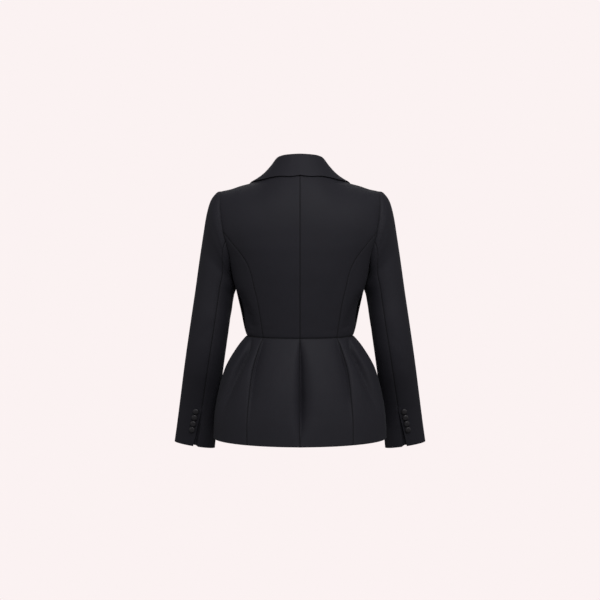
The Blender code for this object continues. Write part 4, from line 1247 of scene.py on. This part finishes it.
@dataclass
class CollarAndLapels:
    """The folded collar and the two turned-back lapels that meet it at the gorge seams.

    The roll holds, for the control points of a lapel's roll, how far each lies from the roll
    line and how far it stands off the front. The station signs mirror a station of the collar.
    """

    step: float = 0.0030
    seat: float = 0.0009
    cloth: float = 0.0020
    fold_radius: float = 0.0036
    gorge_level: float = 1.62
    break_level: float = 0.365
    tip_level: float = 1.51
    last_edge_level: float = 0.36
    fall_steps: int = 5
    notch_step: int = 3
    fall_sink: float = 0.0014
    stand_heights: tuple[float, float] = (0.004, 0.02)
    fold_share: float = 0.16
    collar_length: float = 0.50
    lapel_length: float = 0.33
    fall_width: float = 0.085
    collar_step: float = 0.0024
    lapel_step: float = 0.0026
    station_signs: tuple = (-1.0, 1.0, -1.0, 1.0, 1.0, -1.0, 1.0, 1.0)
    roll: tuple = ((-0.0024, -0.0020), (-0.0035, -0.0004), (-0.0038, 0.0015), (-0.0018, 0.0036),
                   (0.0016, 0.0045))

    def lapel_controls(self, share: Array) -> tuple[Array, Array, Array]:
        """Control points of lines across the lapel, from the roll to its edge.

        Args:
            share: Where each line lies: 0 is the gorge seam and 1 the break.

        Returns:
            How far from the centre, level and lift of each control point, lines first.
        """
        share = np.asarray(share, float)
        level = self.gorge_level + (self.break_level - self.gorge_level) * share
        start = ROLL_LINE(level)
        edge_level = self.tip_level + (self.last_edge_level - self.tip_level) * share
        edge = LAPEL_EDGE(edge_level)
        x = [start + dx for dx, lift in self.roll]
        levels = [level for dx, lift in self.roll]
        lifts = [lift + 0.0 * share for dx, lift in self.roll]
        first, last = x[-1], self.roll[-1][1]
        for i in range(1, self.fall_steps + 1):
            part = i / self.fall_steps
            x.append(first + (edge - first) * part)
            levels.append(level + (edge_level - level) * part)
            lifts.append(last - self.fall_sink * part + 0.0 * share)
        return np.stack(x, -1), np.stack(levels, -1), np.stack(lifts, -1)

    def section(self, row: Array) -> Array:
        """Control points of collar sections, from the neckline to the fall's edge.

        Args:
            row: One row of station values for each section.

        Returns:
            Ten points for each section.
        """
        neck_x, neck_level, fold_x, fold_y, fold_z, edge_x, edge_level, lift = np.moveaxis(row, -1, 0)
        neck = BODY_FORM.over_shoulder(neck_x, neck_level, 0.0)
        fold = np.stack([fold_x, fold_y, fold_z], axis=-1)
        edge = BODY_FORM.over_shoulder(edge_x, edge_level, lift)
        outward = unit((edge - fold) * LEVEL)
        bottom = neck - self.cloth * outward + self.seat * UPWARD
        height = np.clip(fold[..., 2] - bottom[..., 2], *self.stand_heights)[..., None]
        inside = fold - self.fold_radius * outward - self.fold_share * height * UPWARD
        outside = fold + self.fold_radius * outward - self.fold_share * height * UPWARD
        points = [bottom, (bottom + inside) / 2.0, inside, fold, outside]
        points += [outside + (edge - outside) * i / self.fall_steps
                   for i in range(1, self.fall_steps + 1)]
        return np.stack(points, axis=-2)

    def end_section(self) -> Array:
        """The collar's end: along the gorge seam, then out to its own corner."""
        seam = BODY_FORM.over_shoulder(*self.seam_line())
        last = COLLAR_STATIONS[-1]
        edge = BODY_FORM.over_shoulder(*last[5:])
        corner = len(self.roll) + self.notch_step
        points = list(seam[:corner])
        steps = self.fall_steps - self.notch_step
        points += [seam[corner - 1] + (edge - seam[corner - 1]) * i / steps for i in range(1, steps + 1)]
        return np.array(points)

    def seam_line(self) -> tuple[Array, Array, Array]:
        """The gorge seam, as distance from the centre, level over the shoulder and lift."""
        x, level, lift = self.lapel_controls(np.array(0.0))
        return x, 4.0 - level, lift

    def collar(self) -> ClothPiece:
        """The folded collar, from one gorge seam round the neck to the other."""
        half = np.array(COLLAR_STATIONS)
        both = np.concatenate([half[:0:-1] * self.station_signs, half])
        span = float(len(half) - 1)
        curves = [Curve(np.arange(-span, span + 1.0), values) for values in both.T]
        fine = span * (2.0 * graded(self.collar_length, self.step) - 1.0)
        controls = self.section(np.stack([curve(np.abs(fine)) for curve in curves], axis=-1))
        weight = np.clip(np.abs(fine) - (span - 1.0), 0.0, 1.0)[:, None, None]
        controls = (1.0 - weight) * controls + weight * self.end_section()[None]
        controls[..., 0] *= np.sign(fine + 1e-9)[:, None]
        points = smooth_lines(controls, graded(self.fall_width, self.collar_step))
        normals = grid_normals(points, UPWARD)
        heights = all_creases("collar", points[..., 0], points[..., 2])
        return ClothPiece("collar", points, normals, high_column=Edge.BARE, heights=heights,
                          **STIFFENED)

    def lapel(self, side: Side) -> ClothPiece:
        """The turned-back facing of one front."""
        x, level, lift = self.lapel_controls(graded(self.lapel_length, self.step))
        if side is Side.LEFT:
            lift = lift - Bodice().under_front(x, level)
        points = smooth_lines(BODY_FORM.over_shoulder(x, 4.0 - level, lift),
                              graded(self.fall_width, self.lapel_step))
        normals = grid_normals(points, np.array([0.0, -1.0, 0.0]))
        return ClothPiece("lapel_" + side.label, points * side.mirror, normals * side.mirror,
                          low_column=Edge.BARE, high_column=Edge.BARE, high_row=Edge.BARE,
                          **STIFFENED)

    def build(self) -> list[ClothPiece]:
        """The collar and both lapels."""
        return [self.collar()] + [self.lapel(side) for side in Side]


@dataclass
class Buttons:
    """Cloth-covered buttons: four beside each cuff vent and one at the front.

    The powers round the dome off, and the gathers are where its cloth is drawn in below.
    """

    radius: float = 0.0071
    height: float = 0.0052
    pitch: float = 0.0150
    first_z: float = -0.5405
    count: int = 4
    first_place: float = 0.936
    place_step: float = 0.017
    lowest_ring: float = 12.0
    front_level: float = 0.11
    dome_start: float = 0.30
    side_power: float = 0.62
    dome_power: float = 0.92
    base_power: float = 0.8
    gather: float = 0.012
    gathers: float = 13.0
    gather_tilt: float = -0.5
    gather_width: float = 0.35

    def model(self) -> bpy.types.Object:
        """One button at the origin, its top along +Z."""
        bpy.ops.object.select_all(action="DESELECT")
        bpy.ops.mesh.primitive_uv_sphere_add(segments=40, ring_count=22, radius=1.0)
        made = bpy.context.object
        bm = bmesh.new()
        bm.from_mesh(made.data)
        for vert in bm.verts:
            flat = math.hypot(vert.co.x, vert.co.y)
            tilt = math.atan2(vert.co.z, flat)
            turn = math.atan2(vert.co.y, vert.co.x)
            out = math.cos(tilt) ** self.side_power if flat > 1e-6 else 0.0
            gather = self.gather * math.sin(turn * self.gathers + 1.3 * math.sin(turn * 3.0))
            out *= 1.0 + gather * bell(tilt - self.gather_tilt, self.gather_width)
            if vert.co.z >= 0.0:
                z = self.dome_start + (1.0 - self.dome_start) * math.sin(tilt) ** self.dome_power
            else:
                z = self.dome_start * (1.0 - abs(math.sin(tilt)) ** self.base_power)
            vert.co = (self.radius * out * math.cos(turn), self.radius * out * math.sin(turn),
                       self.height * z)
        bm.to_mesh(made.data)
        bm.free()
        bpy.ops.object.shade_smooth()
        return made

    def put(self, model: bpy.types.Object, name: str, normal: Array) -> bpy.types.Object:
        """Copies the button onto the place of its CAD node.

        Args:
            model: The button at the origin.
            name: The name of the node that the copy stands for.
            normal: The way its top faces.

        Returns:
            The copy, with its own mesh in place.
        """
        low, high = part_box(name)
        centre = (Vector(low) + Vector(high)) / 2.0
        axis = Vector(normal).normalized()
        side = Vector(UPWARD).cross(axis).normalized()
        up = axis.cross(side)
        seat = centre - axis * self.height / 2.0
        rows = [[side[i], up[i], axis[i], seat[i]] for i in range(3)] + [[0, 0, 0, 1]]
        made = bpy.data.objects.new(name + "_covered", model.data.copy())
        made.data.name = made.name
        made.data.transform(Matrix(rows))
        bpy.context.scene.collection.objects.link(made)
        return made

    def build(self) -> dict[str, bpy.types.Object]:
        """All nine buttons, by the name of the node that each stands for."""
        model = self.model()
        made = {}
        fine = np.linspace(self.lowest_ring, SLEEVE_FORM.CUFF_RING, 200)
        for side in Side:
            for i in range(self.count):
                t = np.full(fine.shape, self.first_place - self.place_step * i)
                path, away = SLEEVE_FORM.point(t, fine), SLEEVE_FORM.normal(t, fine)
                row = int(np.argmin(np.abs(path[:, 2] - (self.first_z - self.pitch * i))))
                name = "cuff_button_" + side.label + "_" + str(i + 1)
                made[name] = self.put(model, name, away[row] * side.mirror)
        front = BODY_FORM.normal(np.zeros(1), np.array([self.front_level]), Half.FRONT)[0]
        made["front_button"] = self.put(model, "front_button", front)
        bpy.data.objects.remove(model, do_unlink=True)
        return made


class Shade:
    """A value in a material's nodes that can be written into sums."""

    def __init__(self, graph: "Graph", socket: bpy.types.NodeSocket) -> None:
        """Keeps the graph and the socket that gives the value."""
        self.graph = graph
        self.socket = socket

    def maths(self, operation: str, first: "Shade | float", second: "Shade | float") -> "Shade":
        """One Math node."""
        node = self.graph.node("ShaderNodeMath", {"operation": operation}, {0: first, 1: second})
        return Shade(self.graph, node.outputs[0])

    def __add__(self, other: "Shade | float") -> "Shade":
        """The sum."""
        return self.maths("ADD", self, other)

    __radd__ = __add__

    def __sub__(self, other: "Shade | float") -> "Shade":
        """The difference."""
        return self.maths("SUBTRACT", self, other)

    def __mul__(self, other: "Shade | float") -> "Shade":
        """The product."""
        return self.maths("MULTIPLY", self, other)

    __rmul__ = __mul__


class Graph:
    """The nodes of one material."""

    def __init__(self, name: str) -> None:
        """Makes a material that holds only its shader."""
        self.material = bpy.data.materials.new(name)
        self.material.use_nodes = True
        self.tree = self.material.node_tree
        self.shader = self.tree.nodes["Principled BSDF"]

    def node(self, kind: str, settings: dict | None = None,
             inputs: dict | None = None) -> bpy.types.Node:
        """Adds a node.

        Args:
            kind: The node's type.
            settings: Its settings, set first.
            inputs: Values or links of its sockets, by name or number.

        Returns:
            The node.
        """
        made = self.tree.nodes.new(kind)
        for word, value in (settings or {}).items():
            setattr(made, word, value)
        self.fill(made, inputs or {})
        return made

    def fill(self, node: bpy.types.Node, inputs: dict) -> None:
        """Sets or links the sockets of a node."""
        for word, value in inputs.items():
            socket = node.inputs[word]
            if isinstance(value, Shade):
                self.tree.links.new(value.socket, socket)
            else:
                socket.default_value = value

    def shade(self, kind: str, settings: dict | None = None, inputs: dict | None = None,
              output: str | int = 0) -> Shade:
        """Adds a node and gives one of its outputs."""
        return Shade(self, self.node(kind, settings, inputs).outputs[output])

    def mix(self, first: "Shade | tuple", second: "Shade | tuple", share: "Shade | float") -> Shade:
        """Mixes two colours."""
        return self.shade("ShaderNodeMix", {"data_type": "RGBA"},
                          {0: share, 6: first, 7: second}, 2)

    def noise(self, place: Shade, scale: float, detail: float = 2.0, roughness: float = 0.5) -> Shade:
        """Smooth noise between 0 and 1."""
        return self.shade("ShaderNodeTexNoise", None, {"Vector": place, "Scale": scale,
                                                       "Detail": detail, "Roughness": roughness})

    def twill(self, place: Shade, scale: float, inputs: dict[str, float]) -> Shade:
        """The slanting ribs of a twill."""
        return self.shade("ShaderNodeTexWave", {"bands_direction": "DIAGONAL"},
                          {"Vector": place, "Scale": scale, **inputs}, "Fac")

    def bump(self, relief: Shade) -> Shade:
        """The normal of a surface that stands out by a relief in metres."""
        return self.shade("ShaderNodeBump", None,
                          {"Strength": 1.0, "Distance": 1.0, "Height": relief}, "Normal")


@dataclass(frozen=True)
class Suiting:
    """Smooth black wool suiting: a fine twill with a soft, nearly matt face, with painted shade along its
    seams.
    """

    name: str = "black_suiting"
    dark: tuple = (0.0124, 0.0118, 0.0162, 1.0)
    light: tuple = (0.0212, 0.0202, 0.0277, 1.0)
    # Painted shade: the colour of the shadow in the seam ditches.
    seam_dark: tuple = (0.0035, 0.0035, 0.0042, 1.0)
    broad_scale: float = 9.0
    ripple_scale: float = 17.0
    thread_scale: tuple = (1500.0, 260.0, 1.0)
    crepe_scale: float = 900.0
    twill_scale: float = 420.0
    roughness: float = 0.72
    gloss: float = 0.25
    sheen: float = 0.02
    sheen_roughness: float = 0.45
    sheen_tint: tuple = (0.80, 0.82, 0.90, 1.0)

    def make(self) -> bpy.types.Material:
        """The material."""
        graph = Graph(self.name)
        cloth = graph.shade("ShaderNodeUVMap", {"uv_map": "cloth"}, output="UV")
        place = graph.shade("ShaderNodeTexCoord", output="Object")
        # The seam attribute is the painted seam shade.
        seam = graph.shade("ShaderNodeAttribute", {"attribute_name": "seam"}, output="Fac")
        broad = graph.noise(place, self.broad_scale, 3.0)
        threads = graph.shade("ShaderNodeMapping", None, {"Vector": cloth, "Scale": self.thread_scale})
        thread = graph.noise(threads, 1.0)
        crepe = graph.noise(cloth, self.crepe_scale, 3.0, 0.6)
        twill = graph.twill(cloth, self.twill_scale,
                            {"Distortion": 0.6, "Detail": 1.0, "Detail Scale": 2.0})
        ripple = graph.noise(place, self.ripple_scale, roughness=0.45)
        tone = 0.45 * broad + 0.30 * thread + 0.25 * twill
        colour = graph.mix(self.dark, self.light, tone)
        # Painted shade: the colour darkens along each seam, where its ditch falls into shade.
        colour = graph.mix(colour, self.seam_dark, 0.95 * seam)
        roughness = self.roughness + 0.14 * (broad - 0.5) + 0.10 * (crepe - 0.5) + 0.15 * seam
        relief = 0.000050 * twill + 0.000045 * thread + 0.000035 * crepe + 0.0011 * ripple
        graph.fill(graph.shader, {
            "Base Color": colour, "Roughness": roughness, "Normal": graph.bump(relief),
            "Metallic": 0.0, "Specular IOR Level": self.gloss, "Sheen Weight": self.sheen,
            "Sheen Roughness": self.sheen_roughness, "Sheen Tint": self.sheen_tint,
        })
        return graph.material


@dataclass(frozen=True)
class ButtonCover:
    """The thinner satin-faced cloth drawn over the button moulds."""

    name: str = "black_button_cover"
    dark: tuple = (0.0110, 0.0102, 0.0125, 1.0)
    light: tuple = (0.0370, 0.0345, 0.0390, 1.0)
    grain_scale: float = 900.0
    broad_scale: float = 160.0
    weave_scale: float = 560.0
    roughness: float = 0.38
    gloss: float = 0.40

    def make(self) -> bpy.types.Material:
        """The material."""
        graph = Graph(self.name)
        place = graph.shade("ShaderNodeTexCoord", output="Object")
        grain, broad = graph.noise(place, self.grain_scale), graph.noise(place, self.broad_scale)
        weave = graph.twill(place, self.weave_scale, {"Distortion": 0.5})
        graph.fill(graph.shader, {
            "Base Color": graph.mix(self.dark, self.light, 0.5 * broad + 0.5 * weave),
            "Roughness": self.roughness + 0.12 * grain, "Specular IOR Level": self.gloss,
            "Normal": graph.bump(0.000030 * weave + 0.000030 * grain),
        })
        return graph.material


@dataclass(frozen=True)
class StudioPaper:
    """The plain pale paper behind and below the jacket."""

    colour: tuple = (0.965, 0.888, 0.888, 1.0)

    def make(self) -> bpy.types.Material:
        """The material, evenly lit so that it shows no horizon."""
        graph = Graph("pale_paper")
        graph.fill(graph.shader, {
            "Base Color": (0.0, 0.0, 0.0, 1.0), "Roughness": 1.0, "Specular IOR Level": 0.0,
            "Emission Color": self.colour, "Emission Strength": 1.0,
        })
        return graph.material


@dataclass(frozen=True)
class Lamp:
    """One soft square light that faces the jacket."""

    name: str
    place: tuple[float, float, float]
    power: float
    size: float
    aim: tuple[float, float, float] = (0.0, 0.0, -0.25)

    def put(self) -> None:
        """Sets the light in the scene."""
        light = bpy.data.lights.new(self.name, "AREA")
        light.energy = self.power
        light.size = self.size
        made = bpy.data.objects.new(self.name, light)
        made.location = self.place
        way = Vector(self.aim) - Vector(self.place)
        made.rotation_euler = way.to_track_quat("-Z", "Y").to_euler()
        bpy.context.scene.collection.objects.link(made)


@dataclass
class Studio:
    """The floor and backdrop, the soft light and the camera of the photograph."""

    camera_place: tuple = (0.0, 3.5, -0.075)
    view_half_width: float = 0.705
    frame_drop: float = -85.0 / 600.0
    floor_z: float = -1.15
    paper_reach: float = 4.5
    paper_top: float = 3.6
    bend_start: float = -1.4
    bend_radius: float = 1.2
    air_colour: tuple = (0.95, 0.93, 0.95, 1.0)
    air_strength: float = 0.15
    lamps: tuple[Lamp, ...] = (
        Lamp("key_light", (-0.5, 2.9, 2.3), 86.0, 1.7),
        Lamp("left_fill", (3.2, 1.6, 0.3), 17.0, 2.0),
        Lamp("right_fill", (-3.2, 1.6, 0.3), 17.0, 2.0),
        Lamp("far_fill", (0.0, -2.3, 1.8), 17.0, 2.0),
    )

    def sweep(self) -> bpy.types.Object:
        """One sheet of paper that is the floor and curves up behind."""
        profile = [(self.paper_reach, self.floor_z), (self.bend_start, self.floor_z)]
        profile += [(self.bend_start - self.bend_radius * math.sin(t),
                     self.floor_z + self.bend_radius * (1.0 - math.cos(t)))
                    for t in np.radians(np.linspace(7.5, 90.0, 12))]
        profile.append((self.bend_start - self.bend_radius, self.paper_top))
        verts = [(x, y, z) for x in (-self.paper_reach, self.paper_reach) for y, z in profile]
        count = len(profile)
        faces = [(i, i + 1, i + 1 + count, i + count) for i in range(count - 1)]
        mesh = bpy.data.meshes.new("studio_paper")
        mesh.from_pydata(verts, [], faces)
        made = bpy.data.objects.new("studio_paper", mesh)
        bpy.context.scene.collection.objects.link(made)
        made.data.materials.append(StudioPaper().make())
        made.visible_diffuse = False
        made.visible_glossy = False
        return made

    def set_up(self) -> None:
        """Puts everything round the jacket."""
        self.sweep()
        for lamp in self.lamps:
            lamp.put()
        world = bpy.data.worlds.new("studio_air")
        world.use_nodes = True
        air = world.node_tree.nodes["Background"]
        air.inputs["Color"].default_value = self.air_colour
        air.inputs["Strength"].default_value = self.air_strength
        bpy.context.scene.world = world
        lens = bpy.data.cameras.new("camera")
        lens.sensor_fit = "HORIZONTAL"
        lens.angle = 2.0 * math.atan(self.view_half_width / self.camera_place[1])
        eye = bpy.data.objects.new("camera", lens)
        eye.location = self.camera_place
        eye.rotation_euler = (math.pi / 2.0, 0.0, math.pi)
        lens.shift_y = self.frame_drop
        bpy.context.scene.collection.objects.link(eye)
        bpy.context.scene.camera = eye
        bpy.context.scene.view_settings.view_transform = "Standard"


@dataclass
class Jacket:
    """The whole jacket: cloth pieces and buttons, dressed and set on the frame."""

    bodice: Bodice = field(default_factory=Bodice)
    peplum: Peplum = field(default_factory=Peplum)
    sleeves: Sleeves = field(default_factory=Sleeves)
    collar: CollarAndLapels = field(default_factory=CollarAndLapels)
    buttons: Buttons = field(default_factory=Buttons)

    def dress(self, made: bpy.types.Object, node: str, material: bpy.types.Material) -> None:
        """Gives a piece its material and lets it stand for its CAD node."""
        made.data.materials.clear()
        made.data.materials.append(material)
        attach(made, "root")
        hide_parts(node)
        LOG.info("%s: %d faces", made.name, len(made.data.polygons))

    def build(self) -> None:
        """Builds and dresses every piece."""
        suiting, cover = Suiting().make(), ButtonCover().make()
        for part in (self.bodice, self.peplum, self.sleeves, self.collar):
            for piece in part.build():
                node = piece.name
                piece.name = node + "_cloth"
                made = piece.build()
                self.dress(made, node, suiting)
                cut = CUTS[node.rsplit("_", 1)[0] if node != "collar" else node]
                cut.width
                cut.length
                cut.area
        for node, made in self.buttons.build().items():
            self.dress(made, node, cover)


def main() -> None:
    """Builds the jacket and the studio round it."""
    logging.basicConfig(level=logging.INFO, format="%(name)s %(message)s")
    Jacket().build()
    Studio().set_up()


if __name__ == "__main__":
    main()
